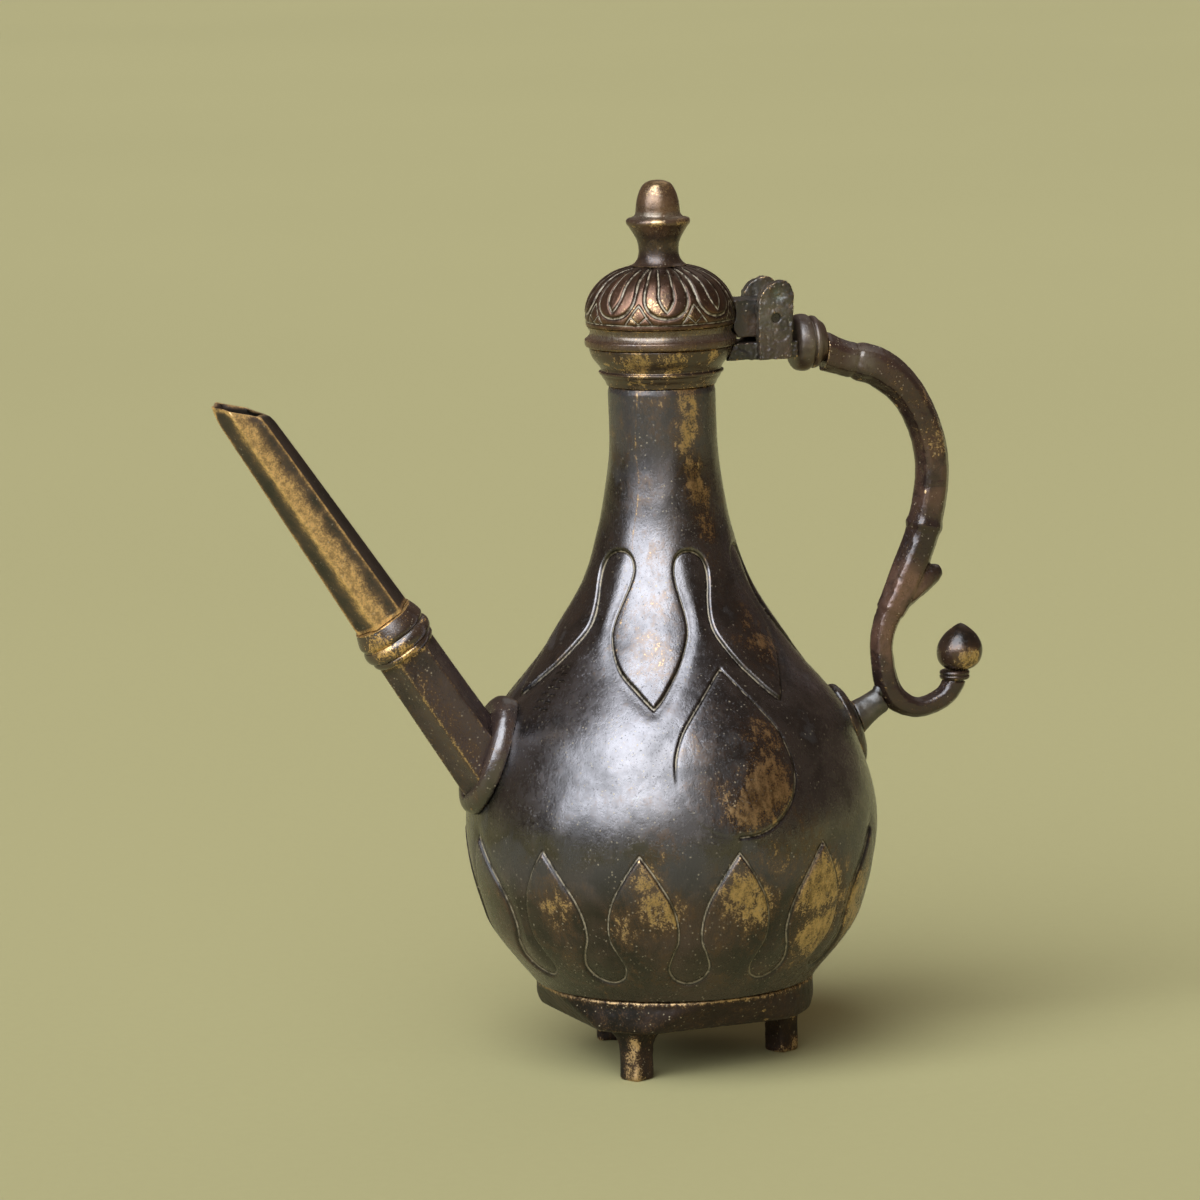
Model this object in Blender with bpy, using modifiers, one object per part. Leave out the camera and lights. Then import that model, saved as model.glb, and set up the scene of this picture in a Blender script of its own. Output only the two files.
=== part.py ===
"""Brass tea kettle of the tall ewer kind: pear body on a three-legged ring, faceted spout,
collar with a hinged domed lid, and an S-scroll handle. Metres, +Z up.

The origin is on the table, midway between spout tip and handle bud. Spout towards -X, handle
towards +X. Each piece is one named object; the lid's pieces hang on an empty on the hinge axis.
"""
import math

import bmesh
import bpy
from mathutils import Matrix, Vector

# Clearances
GAP = 0.0003
PIN_CLEARANCE = 0.00009

# Facets round a full turn
BODY_STEPS = 40
LID_STEPS = 32
SMALL_STEPS = 24
BODY_RINGS = 21

# Stand: ring on three square legs, one corner of each leg facing out. The ring is round at the
# top, under the body, and squared off with four flats at its lower edge.
LEG_HEIGHT = 0.0174
LEG_CORNER = 0.0060
LEG_FLARE = 0.0015
LEG_CIRCLE = 0.0366
LEG_COUNT = 3
LEG_TURN = math.radians(-9)
RING_RADIUS = 0.0474
RING_FLAT = 0.0390
RING_INNER = 0.0305
RING_HEIGHT = 0.0113
RING_EDGE = 0.0014

# Body: outer radius at stations up the pear and the neck
SHELL_WALL = 0.0020
BASE_RADIUS = 0.0478
LOWER_RADIUS = 0.0638
LOWER_HEIGHT = 0.0520
BELLY_RADIUS = 0.0700
BELLY_HEIGHT = 0.0820
SHOULDER_RADIUS = 0.0618
SHOULDER_HEIGHT = 0.1150
SLOPE_RADIUS = 0.0420
SLOPE_HEIGHT = 0.1420
THROAT_RADIUS = 0.0276
THROAT_HEIGHT = 0.1660
FLARE_RADIUS = 0.0206
FLARE_HEIGHT = 0.1900
NECK_RADIUS = 0.0177
NECK_WAIST = 0.2140
NECK_TOP = 0.2310

# Base disc
DISC_THICKNESS = 0.0020
DISC_RISE = 0.0030

# Collar cup on the neck; the lid's rim hangs over it
RIM_OVERHANG = 0.0015
COLLAR_HEIGHT = 0.0129
COLLAR_WALL = 0.0026
SPIGOT_DEPTH = 0.0060
SPIGOT_WALL = 0.0017

# Lid
RIM_RADIUS = 0.0256
RIM_HEIGHT = 0.0068
RIM_WALL = 0.0038
DOME_INSET = 0.0003
DOME_CROWN = 0.0169
DOME_ROUND = 0.0186
DOME_SKIRT = 0.0026
DOME_WALL = 0.0018
DOME_ARC_STEPS = 8
FINIAL_HEIGHT = 0.0285
FINIAL_FOOT = 0.0092
FINIAL_WAIST = 0.0067
FINIAL_DISC = 0.0107
ACORN_RADIUS = 0.0076
SHANK_RADIUS = 0.0020
RIVET_RADIUS = 0.0036
RIVET_HEIGHT = 0.0014

# Hinge: two ears on an arm, a tongue on the lid, and a pin through all three
PIN_STANDOFF = 0.0120
PIN_RISE = 0.0082
PIN_RADIUS = 0.0015
PIN_RECESS = 0.0008
EAR_THICKNESS = 0.0040
EAR_LEFT = 0.0062
EAR_RIGHT = 0.0066
EAR_ABOVE_PIN = 0.0127
EAR_NOSE = 0.0090
EAR_CORNER = 0.0045
EAR_TAPER = 0.0012
TONGUE_WIDTH = 0.0130
TONGUE_RADIUS = 0.0064
ARM_WIDTH = 0.0170
ARM_HEIGHT = 0.0058
ARM_TAIL = 0.0018

# Handle: bead, faceted bar, bud
BEAD_LENGTH = 0.0110
BEAD_RADIUS = 0.0097
BEAD_DROP = 0.0016
BAR_DROP = 0.0034
BAR_CHAMFER = math.radians(9)
# Bar stations: reach and height from the bead's far face, then half depth
ARCH_ROUTE = (
    (0.0000, 0.0000, 0.0072),
    (0.0070, -0.0026, 0.0065),
    (0.0205, -0.0070, 0.0072),
    (0.0320, -0.0186, 0.0064),
    (0.0386, -0.0386, 0.0064),
    (0.0356, -0.0616, 0.0065),
)
# Scroll stations: reach and height from the heel, the point nearest the body, then half depth
SCROLL_ROUTE = (
    (0.0076, 0.0225, 0.0058),
    (0.0012, 0.0096, 0.0047),
    (0.0000, 0.0000, 0.0044),
    (0.0032, -0.0140, 0.0047),
    (0.0119, -0.0195, 0.0038),
    (0.0219, -0.0168, 0.0040),
    (0.0265, -0.0110, 0.0044),
)
HEEL_RISE = 0.0237
# Band round the bar below the arch
BAND_HALF_LENGTH = 0.0017
BAND_STEP = 0.0005
# Spur stations, from the heel
SPUR_ROUTE = (
    (0.0044, 0.0165, 0.0046),
    (0.0134, 0.0235, 0.0050),
    (0.0196, 0.0268, 0.0034),
    (0.0218, 0.0275, 0.0018),
)
BUD_RING_RADIUS = 0.0052
BUD_RING_HEIGHT = 0.0033
BUD_RADIUS = 0.0079
BUD_SHIFT = 0.0020
BUD_HEIGHT = 0.0158

# Strut and the boss under it on the body
STRUT_HEIGHT = 0.1103
STRUT_SPAN = 0.0127
STRUT_ROOT = 0.0072
STRUT_WAIST = 0.0047
STRUT_ASPECT = 0.82
PAD_LENGTH = 0.0310
PAD_WIDTH = 0.0210
PAD_THICKNESS = 0.0045

# Spout: two hexagonal tubes with a turned knuckle between them, ridges above and below
SPOUT_HEIGHT = 0.1055
SPOUT_SLOPE = math.radians(57)
SPOUT_WALL = 0.0016
SPOUT_ROOT = 0.0115
SPOUT_LOWER_END = 0.0108
SPOUT_LOWER_LENGTH = 0.0487
KNUCKLE_LENGTH = 0.0136
KNUCKLE_RADIUS = 0.0124
KNUCKLE_END = 0.0111
SPOUT_UPPER_START = 0.0103
SPOUT_MOUTH = 0.0080
SPOUT_UPPER_LENGTH = 0.0860
MOUTH_TILT = math.radians(12)
RIDGE_ROUNDING = 0.0009
FLANGE_LENGTH = 0.0416
FLANGE_ASPECT = 0.76
FLANGE_HEIGHT = 0.0040
FLANGE_RISE = 0.0036

# Finishes: colour, roughness
DARK_PATINA = ((0.060, 0.045, 0.040), 0.38)
WARM_PATINA = ((0.130, 0.080, 0.048), 0.36)
WORN_BRASS = ((0.420, 0.270, 0.105), 0.34)

# Heights and places that follow from the sizes above
RING_TOP = LEG_HEIGHT + RING_HEIGHT
COLLAR_RADIUS = RIM_RADIUS - RIM_OVERHANG
DOME_RADIUS = RIM_RADIUS - DOME_INSET
BASE_HEIGHT = RING_TOP + GAP
COLLAR_BOTTOM = NECK_TOP + GAP
COLLAR_TOP = COLLAR_BOTTOM + COLLAR_HEIGHT
RIM_BOTTOM = COLLAR_TOP + GAP
RIM_TOP = RIM_BOTTOM + RIM_HEIGHT
DOME_BOTTOM = RIM_TOP + GAP
DOME_TOP = DOME_BOTTOM + DOME_SKIRT + DOME_CROWN
DOME_CENTRE = (DOME_RADIUS - DOME_ROUND, DOME_BOTTOM + DOME_SKIRT)
PIN_REACH = RIM_RADIUS + PIN_STANDOFF
PIN_HEIGHT = COLLAR_TOP + PIN_RISE
EAR_INNER = TONGUE_WIDTH / 2 + GAP
EAR_OUTER = EAR_INNER + EAR_THICKNESS
ARM_TOP = COLLAR_TOP
ARM_END = PIN_REACH + EAR_RIGHT + ARM_TAIL
BEAD_START = ARM_END + GAP
BEAD_HEIGHT = COLLAR_TOP - BEAD_DROP
BAR_START = BEAD_START + BEAD_LENGTH + GAP
BAR_HEIGHT = BEAD_HEIGHT - BAR_DROP
FULL_TURN = 2 * math.pi
HEX = 6

BODY_STATIONS = (
    (BASE_HEIGHT, BASE_RADIUS),
    (LOWER_HEIGHT, LOWER_RADIUS),
    (BELLY_HEIGHT, BELLY_RADIUS),
    (SHOULDER_HEIGHT, SHOULDER_RADIUS),
    (SLOPE_HEIGHT, SLOPE_RADIUS),
    (THROAT_HEIGHT, THROAT_RADIUS),
    (FLARE_HEIGHT, FLARE_RADIUS),
    (NECK_WAIST, NECK_RADIUS),
    (NECK_TOP, NECK_RADIUS),
)


def station_slopes(stations):
    """Slope at each station of a smooth curve that never bulges past its stations."""
    steps = [(b[1] - a[1]) / (b[0] - a[0]) for a, b in zip(stations, stations[1:])]
    slopes = [steps[0]]
    for before, after in zip(steps, steps[1:]):
        flat = before * after <= 0
        slopes.append(0.0 if flat else 2 * before * after / (before + after))
    return slopes + [steps[-1]]


BODY_SLOPES = station_slopes(BODY_STATIONS)


def body_radius(height):
    """Outer radius of the body at a height, by cubic pieces between the stations."""
    last = len(BODY_STATIONS) - 2
    index = max(i for i in range(last + 1) if i == 0 or BODY_STATIONS[i][0] <= height)
    (low, r0), (high, r1) = BODY_STATIONS[index], BODY_STATIONS[index + 1]
    span = high - low
    t = (height - low) / span
    rise0 = BODY_SLOPES[index] * span
    rise1 = BODY_SLOPES[index + 1] * span
    bend = (1 - t) * (rise0 - (r1 - r0)) - t * (rise1 - (r1 - r0))
    return r0 + t * (r1 - r0) + t * (1 - t) * bend


def body_slope(height):
    step = 1e-5
    return (body_radius(height + step) - body_radius(height - step)) / (2 * step)


def wall_radius(height, offset):
    """Radius at a height of the body's surface moved out by offset, square to the surface."""
    return body_radius(height) + offset * math.hypot(1, body_slope(height))


def body_tilt(height):
    """Angle of the body's outward normal above the horizontal."""
    return math.atan2(-body_slope(height), 1)


def rings(low, high, count):
    """Heights from high down to low."""
    return [high + (low - high) * i / (count - 1) for i in range(count)]


def arc(centre, radius, start, end, steps, rise=None):
    """Points of an arc, angles in radians from the first axis; an ellipse where rise is given."""
    rise = radius if rise is None else rise
    turns = [start + (end - start) * i / steps for i in range(steps + 1)]
    return [(centre[0] + radius * math.cos(a), centre[1] + rise * math.sin(a)) for a in turns]


def clear_scene():
    for old in list(bpy.data.objects):
        bpy.data.objects.remove(old, do_unlink=True)


def new_collection(name):
    group = bpy.data.collections.new(name)
    bpy.context.scene.collection.children.link(group)
    return group


clear_scene()
PARTS = new_collection("brass_tea_kettle")
CUTTERS = new_collection("cutters")


def new_empty(name, location, parent=None):
    empty = bpy.data.objects.new(name, None)
    empty.location = location
    empty.parent = parent
    PARTS.objects.link(empty)
    return empty


def brass(name, finish):
    colour, roughness = finish
    material = bpy.data.materials.new(name + "_brass")
    material.use_nodes = True
    shader = material.node_tree.nodes["Principled BSDF"]
    shader.inputs["Base Color"].default_value = (*colour, 1)
    shader.inputs["Metallic"].default_value = 1.0
    shader.inputs["Roughness"].default_value = roughness
    return material


def link_object(name, data, parent, location=(0, 0, 0), tilt=0.0):
    obj = bpy.data.objects.new(name, data)
    obj.parent = parent
    obj.location = location
    obj.rotation_euler = (0, tilt, 0)
    CUTTERS.objects.link(obj)
    obj.hide_render = True
    obj.display_type = "WIRE"
    return obj


def as_part(obj, finish):
    """Move a shape from the cutters to the parts and give it its finish."""
    CUTTERS.objects.unlink(obj)
    PARTS.objects.link(obj)
    obj.hide_render = False
    obj.display_type = "TEXTURED"
    obj.data.materials.clear()
    obj.data.materials.append(brass(obj.name, finish))
    return obj


def turned(name, outline, steps, parent, location=(0, 0, 0), tilt=0.0, hollow=False):
    """Turn an outline of (radius, height), given down its outer side, about its own Z axis."""
    count = len(outline)
    edges = [(i, i + 1) for i in range(count - 1)]
    if hollow:
        edges.append((count - 1, 0))
    mesh = bpy.data.meshes.new(name)
    mesh.from_pydata([(r, 0, z) for r, z in outline], edges, [])
    obj = link_object(name, mesh, parent, location, tilt)
    screw = obj.modifiers.new("turn", "SCREW")
    screw.axis = "Z"
    screw.angle = FULL_TURN
    screw.steps = steps
    screw.render_steps = steps
    screw.use_merge_vertices = True
    screw.merge_threshold = 1e-6
    screw.use_smooth_shade = steps > HEX
    return obj


def tapered(name, sides, start, end, low, high, parent, location, tilt, rounding=0.0):
    """A straight taper from radius start at low to end at high, a corner of it along local X."""
    mesh = bpy.data.meshes.new(name)
    form = bmesh.new()
    place = Matrix.Translation((0, 0, (low + high) / 2)) @ Matrix.Rotation(math.pi / 2, 4, "Z")
    bmesh.ops.create_cone(form, cap_ends=True, segments=sides, radius1=start, radius2=end,
                          depth=high - low, matrix=place)
    weight = form.edges.layers.float.new("bevel_weight_edge")
    for edge in form.edges:
        edge[weight] = float(abs(edge.verts[0].co.z - edge.verts[1].co.z) > (high - low) / 2)
    form.to_mesh(mesh)
    form.free()
    obj = link_object(name, mesh, parent, location, tilt)
    if rounding:
        bevel = obj.modifiers.new("round ridges", "BEVEL")
        bevel.limit_method = "WEIGHT"
        bevel.width = rounding
        bevel.segments = 2
    return obj


def block(name, low, high, parent, location=(0, 0, 0), tilt=0.0):
    """A rectangular block between two corners."""
    mesh = bpy.data.meshes.new(name)
    form = bmesh.new()
    sizes = [b - a for a, b in zip(low, high)]
    middle = [(a + b) / 2 for a, b in zip(low, high)]
    place = Matrix.Translation(middle) @ Matrix.Diagonal((*sizes, 1))
    bmesh.ops.create_cube(form, size=1, matrix=place)
    form.to_mesh(mesh)
    form.free()
    return link_object(name, mesh, parent, location, tilt)


def solid_of(curve_object):
    """Replace a curve by the closed mesh it makes."""
    bpy.context.view_layer.update()
    graph = bpy.context.evaluated_depsgraph_get()
    mesh = bpy.data.meshes.new_from_object(curve_object.evaluated_get(graph))
    form = bmesh.new()
    form.from_mesh(mesh)
    bmesh.ops.remove_doubles(form, verts=form.verts, dist=1e-6)
    bmesh.ops.recalc_face_normals(form, faces=form.faces)
    form.to_mesh(mesh)
    form.free()
    name, parent, place = curve_object.name, curve_object.parent, curve_object.matrix_world.copy()
    bpy.data.objects.remove(curve_object, do_unlink=True)
    solid = link_object(name, mesh, parent)
    bpy.context.view_layer.update()
    solid.matrix_world = place
    return solid


def plate(name, outline, thickness, parent, location, turn):
    """A flat plate with the given outline, drawn in its own XY plane and turned into place."""
    curve = bpy.data.curves.new(name, "CURVE")
    curve.dimensions = "2D"
    curve.fill_mode = "BOTH"
    curve.extrude = thickness / 2
    spline = curve.splines.new("POLY")
    spline.points.add(len(outline) - 1)
    for point, (x, y) in zip(spline.points, outline):
        point.co = (x, y, 0, 1)
    spline.use_cyclic_u = True
    obj = link_object(name, curve, parent, location)
    obj.rotation_euler = turn
    return solid_of(obj)


def faceted_section(name):
    """Six-sided section of unit depth, its ridges in the bar's own plane and slightly blunted."""
    curve = bpy.data.curves.new(name, "CURVE")
    curve.dimensions = "2D"
    spline = curve.splines.new("POLY")
    turns = [(i + 0.5) * FULL_TURN / HEX for i in range(HEX)]
    corners = [turn + side for turn in turns for side in (-BAR_CHAMFER, BAR_CHAMFER)]
    spline.points.add(len(corners) - 1)
    for point, angle in zip(spline.points, corners):
        point.co = (math.cos(angle), math.sin(angle), 0, 1)
    spline.use_cyclic_u = True
    return link_object(name, curve, None)


def faceted_bar(name, route, section, parent, growth=0.0, ends=(None, None)):
    """Sweep the section along a route of (reach, height, half depth) in the handle's plane."""
    curve = bpy.data.curves.new(name, "CURVE")
    curve.dimensions = "3D"
    curve.resolution_u = 5
    curve.bevel_mode = "OBJECT"
    curve.bevel_object = section
    curve.use_fill_caps = True
    spline = curve.splines.new("BEZIER")
    spline.bezier_points.add(len(route) - 1)
    for point, (reach, height, half_depth) in zip(spline.bezier_points, route):
        point.co = (reach, 0, height)
        point.radius = half_depth + growth
        point.handle_left_type = "AUTO"
        point.handle_right_type = "AUTO"
    first, last = spline.bezier_points[0], spline.bezier_points[-1]
    if ends[0]:
        first.handle_right_type = "FREE"
        first.handle_left_type = "FREE"
        first.handle_right = first.co + ends[0]
        first.handle_left = first.co - ends[0]
    if ends[1]:
        last.handle_left_type = "FREE"
        last.handle_right_type = "FREE"
        last.handle_left = last.co - ends[1]
        last.handle_right = last.co + ends[1]
    return solid_of(link_object(name, curve, parent))


def boolean(obj, other, operation):
    step = obj.modifiers.new(operation.lower() + " " + other.name, "BOOLEAN")
    step.operation = operation
    step.solver = "EXACT"
    step.object = other
    return obj


def cut(obj, *others):
    for other in others:
        boolean(obj, other, "DIFFERENCE")
    return obj


# Places along the spout's axis, measured from where it meets the body
SPOUT_ROOT_REACH = body_radius(SPOUT_HEIGHT)
SPOUT_TILT = SPOUT_SLOPE - math.pi / 2
KNUCKLE_START = SPOUT_LOWER_LENGTH + GAP
UPPER_START = KNUCKLE_START + KNUCKLE_LENGTH + GAP
MOUTH_AT = UPPER_START + SPOUT_UPPER_LENGTH
LOWER_TAPER = (SPOUT_ROOT - SPOUT_LOWER_END) / SPOUT_LOWER_LENGTH
UPPER_TAPER = (SPOUT_UPPER_START - SPOUT_MOUTH) / SPOUT_UPPER_LENGTH
MOUTH_LEAN = 1 / math.tan(SPOUT_SLOPE - MOUTH_TILT)
TIP_PAST_MOUTH = SPOUT_MOUTH * MOUTH_LEAN / (1 + UPPER_TAPER * MOUTH_LEAN)
TIP_DEPTH = SPOUT_MOUTH - UPPER_TAPER * TIP_PAST_MOUTH
SPOUT_REACH = (SPOUT_ROOT_REACH + (MOUTH_AT + TIP_PAST_MOUTH) * math.cos(SPOUT_SLOPE)
               + TIP_DEPTH * math.sin(SPOUT_SLOPE))

# The handle's heel stands off the body at the strut
HEEL_REACH = body_radius(STRUT_HEIGHT) + STRUT_SPAN
HEEL_HEIGHT = STRUT_HEIGHT + HEEL_RISE
ARCH = [(BAR_START + u, BAR_HEIGHT + h, half) for u, h, half in ARCH_ROUTE]
SCROLL = [(HEEL_REACH + u, HEEL_HEIGHT + h, half) for u, h, half in SCROLL_ROUTE]
SPUR = [(HEEL_REACH + u, HEEL_HEIGHT + h, half) for u, h, half in SPUR_ROUTE]
STRUT_MEETS = SCROLL[3]
BUD_REACH = SCROLL[-1][0] + BUD_SHIFT + BUD_RADIUS
ARCH_REACH = max(u + half for u, h, half in ARCH)
AXIS_X = (SPOUT_REACH - max(BUD_REACH, ARCH_REACH)) / 2

VESSEL = new_empty("vessel_axis", (AXIS_X, 0, 0))
HINGE = new_empty("lid_hinge_axis", (PIN_REACH, 0, PIN_HEIGHT), VESSEL)
LID_PLACE = (-PIN_REACH, 0, -PIN_HEIGHT)
BODY_HEIGHTS = rings(BASE_HEIGHT, NECK_TOP, BODY_RINGS)
ALONG_Y = (math.pi / 2, 0, 0)


def spout_point(along):
    """Point on the spout's axis, from the vessel's axis."""
    return (-SPOUT_ROOT_REACH - along * math.cos(SPOUT_SLOPE), 0,
            SPOUT_HEIGHT + along * math.sin(SPOUT_SLOPE))


def body_form(name, offset):
    """Solid form of the body with its surface moved out by offset, to cut what sits on it."""
    side = [(wall_radius(h, offset), h) for h in BODY_HEIGHTS]
    return turned(name, [(0, NECK_TOP)] + side + [(0, BASE_HEIGHT)], BODY_STEPS, VESSEL)


def ring_flats():
    """Square block that narrows downwards, with a corner over the front leg; its sides are the flats."""
    lean = (RING_RADIUS - RING_FLAT) / RING_HEIGHT
    corner = math.sqrt(2)
    outline = [
        (0, RING_TOP + RING_EDGE),
        (corner * (RING_RADIUS + lean * RING_EDGE), RING_TOP + RING_EDGE),
        (corner * (RING_FLAT - lean * RING_EDGE), LEG_HEIGHT - RING_EDGE),
        (0, LEG_HEIGHT - RING_EDGE),
    ]
    flats = turned("ring_flats", outline, 4, VESSEL)
    flats.rotation_euler.z = LEG_TURN - FULL_TURN / LEG_COUNT
    return flats


def make_foot_stand():
    edge = RING_EDGE
    outline = [
        (RING_RADIUS - edge / 2, RING_TOP),
        (RING_RADIUS, RING_TOP - edge),
        (RING_RADIUS, LEG_HEIGHT + 2 * edge),
        (RING_RADIUS - edge / 2, LEG_HEIGHT + edge / 2),
        (RING_RADIUS - edge, LEG_HEIGHT),
        (RING_INNER + edge, LEG_HEIGHT),
        (RING_INNER, LEG_HEIGHT + edge),
        (RING_INNER, RING_TOP),
    ]
    ring = turned("foot_stand", outline, BODY_STEPS, VESSEL, hollow=True)
    boolean(ring, ring_flats(), "INTERSECT")
    top = LEG_CORNER + LEG_FLARE
    leg_outline = [
        (0, RING_TOP - RING_HEIGHT / 2),
        (top, RING_TOP - RING_HEIGHT / 2),
        (top, LEG_HEIGHT),
        (LEG_CORNER + LEG_FLARE / 2, LEG_HEIGHT - LEG_FLARE),
        (LEG_CORNER + LEG_FLARE / 8, LEG_HEIGHT - 2.5 * LEG_FLARE),
        (LEG_CORNER, LEG_HEIGHT - 4 * LEG_FLARE),
        (LEG_CORNER, 0),
        (0, 0),
    ]
    for i in range(LEG_COUNT):
        turn = LEG_TURN + i * FULL_TURN / LEG_COUNT
        place = (LEG_CIRCLE * math.cos(turn), LEG_CIRCLE * math.sin(turn), 0)
        leg = turned(f"leg_form_{i + 1}", leg_outline, 4, VESSEL, place)
        leg.rotation_euler.z = turn
        boolean(ring, leg, "UNION")
    return as_part(ring, DARK_PATINA)


def make_body_shell():
    outer = [(body_radius(h), h) for h in BODY_HEIGHTS]
    inner = [(wall_radius(h, -SHELL_WALL), h) for h in reversed(BODY_HEIGHTS)]
    shell = turned("body_shell", outer + inner, BODY_STEPS, VESSEL, hollow=True)
    bore = SPOUT_ROOT * math.cos(math.pi / HEX) - SPOUT_WALL
    hole = tapered("spout_hole", SMALL_STEPS, bore, bore, -2 * bore, bore, VESSEL,
                   spout_point(0), SPOUT_TILT)
    return as_part(cut(shell, hole), DARK_PATINA)


def make_base_disc():
    rim = wall_radius(BASE_HEIGHT, -SHELL_WALL) - GAP
    top = BASE_HEIGHT + DISC_THICKNESS
    outline = [
        (0, top + DISC_RISE),
        (0.55 * rim, top + 0.85 * DISC_RISE),
        (0.85 * rim, top + 0.15 * DISC_RISE),
        (rim, top),
        (rim, BASE_HEIGHT),
        (0.87 * rim, BASE_HEIGHT),
        (0.55 * rim, BASE_HEIGHT + 0.85 * DISC_RISE),
        (0, BASE_HEIGHT + DISC_RISE),
    ]
    return as_part(turned("base_disc", outline, BODY_STEPS, VESSEL), DARK_PATINA)


def collar_outer():
    """Outer side of the collar cup, top to bottom, with a fillet bead low on the cup."""
    flare = COLLAR_RADIUS - NECK_RADIUS
    stations = ((1.00, 1.00), (0.90, 0.95), (0.66, 0.77), (0.45, 0.43), (0.36, 0.40),
                (0.30, 0.44), (0.22, 0.38), (0.12, 0.20), (0.00, 0.12))
    return [(NECK_RADIUS + flare * out, COLLAR_BOTTOM + COLLAR_HEIGHT * up) for up, out in stations]


def make_neck_collar():
    spigot = NECK_RADIUS - SHELL_WALL - GAP
    bore = spigot - SPIGOT_WALL
    mouth = COLLAR_RADIUS - COLLAR_WALL
    inside = [
        (spigot, COLLAR_BOTTOM),
        (spigot, COLLAR_BOTTOM - SPIGOT_DEPTH),
        (bore, COLLAR_BOTTOM - SPIGOT_DEPTH),
        (bore, COLLAR_BOTTOM),
        (bore + 0.35 * (mouth - bore), COLLAR_BOTTOM + 0.45 * COLLAR_HEIGHT),
        (mouth, COLLAR_TOP),
    ]
    outline = collar_outer() + inside
    return as_part(turned("neck_collar", outline, LID_STEPS, VESSEL, hollow=True), WARM_PATINA)


def make_spout_lower():
    low = -2 * SPOUT_ROOT
    start = SPOUT_ROOT - LOWER_TAPER * low
    inset = SPOUT_WALL / math.cos(math.pi / HEX)
    tube = tapered("spout_lower", HEX, start, SPOUT_LOWER_END, low, SPOUT_LOWER_LENGTH, VESSEL,
                   spout_point(0), SPOUT_TILT, RIDGE_ROUNDING)
    spare = SPOUT_WALL
    inside = tapered("spout_lower_inside", HEX, start - inset + LOWER_TAPER * spare,
                     SPOUT_LOWER_END - inset - LOWER_TAPER * spare, low - spare,
                     SPOUT_LOWER_LENGTH + spare, VESSEL, spout_point(0), SPOUT_TILT)
    return as_part(cut(tube, inside, body_form("spout_seat", GAP)), DARK_PATINA)


def make_spout_flange():
    height = SPOUT_HEIGHT + FLANGE_RISE
    half = FLANGE_LENGTH / 2
    soft = FLANGE_HEIGHT
    depth = 1.6 * FLANGE_HEIGHT
    rounded = arc((half - soft, 0), soft, math.pi / 2, 0, 5)
    outline = [(0, FLANGE_HEIGHT)] + rounded + [(half, -depth), (0, -depth)]
    flange = turned("spout_flange", outline, LID_STEPS, VESSEL,
                    (-body_radius(height), 0, height), body_tilt(height) - math.pi / 2)
    flange.scale.y = FLANGE_ASPECT
    low = -2 * FLANGE_LENGTH
    way = tapered("spout_way", HEX, SPOUT_ROOT - LOWER_TAPER * low + GAP, SPOUT_LOWER_END + GAP,
                  low, SPOUT_LOWER_LENGTH, VESSEL, spout_point(0), SPOUT_TILT)
    return as_part(cut(flange, body_form("flange_seat", GAP), way), DARK_PATINA)


def make_spout_knuckle():
    groove = KNUCKLE_RADIUS - KNUCKLE_END
    stations = ((1.00, 0.00), (0.64, 0.70), (0.58, 0.30), (0.52, 0.85), (0.38, 1.00),
                (0.24, 0.75), (0.16, 0.20), (0.08, 0.30), (0.00, 0.00))
    outer = [(KNUCKLE_END + groove * out, KNUCKLE_LENGTH * up) for up, out in stations]
    bore = SPOUT_LOWER_END * math.cos(math.pi / HEX) - SPOUT_WALL
    outline = outer + [(bore, 0), (bore, KNUCKLE_LENGTH)]
    knuckle = turned("spout_knuckle", outline, SMALL_STEPS, VESSEL, spout_point(KNUCKLE_START),
                     SPOUT_TILT, hollow=True)
    return as_part(knuckle, WORN_BRASS)


def make_spout_upper():
    length = SPOUT_UPPER_LENGTH + 3 * SPOUT_MOUTH
    end = SPOUT_UPPER_START - UPPER_TAPER * length
    inset = SPOUT_WALL / math.cos(math.pi / HEX)
    spare = SPOUT_WALL
    place = spout_point(UPPER_START)
    tube = tapered("spout_upper", HEX, SPOUT_UPPER_START, end, 0, length, VESSEL, place,
                   SPOUT_TILT, RIDGE_ROUNDING)
    inside = tapered("spout_upper_inside", HEX, SPOUT_UPPER_START - inset + UPPER_TAPER * spare,
                     end - inset - UPPER_TAPER * spare, -spare, length + spare, VESSEL, place,
                     SPOUT_TILT)
    reach = 4 * SPOUT_UPPER_START
    above = block("mouth_cut", (-reach, -reach, 0), (reach, reach, 2 * reach), VESSEL,
                  spout_point(MOUTH_AT), MOUTH_TILT)
    return as_part(cut(tube, inside, above), WORN_BRASS)


def pin_form(name, radius, half_length):
    pin = tapered(name, SMALL_STEPS, radius, radius, -half_length, half_length, HINGE, (0, 0, 0), 0)
    pin.rotation_euler = ALONG_Y
    return pin


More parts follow.
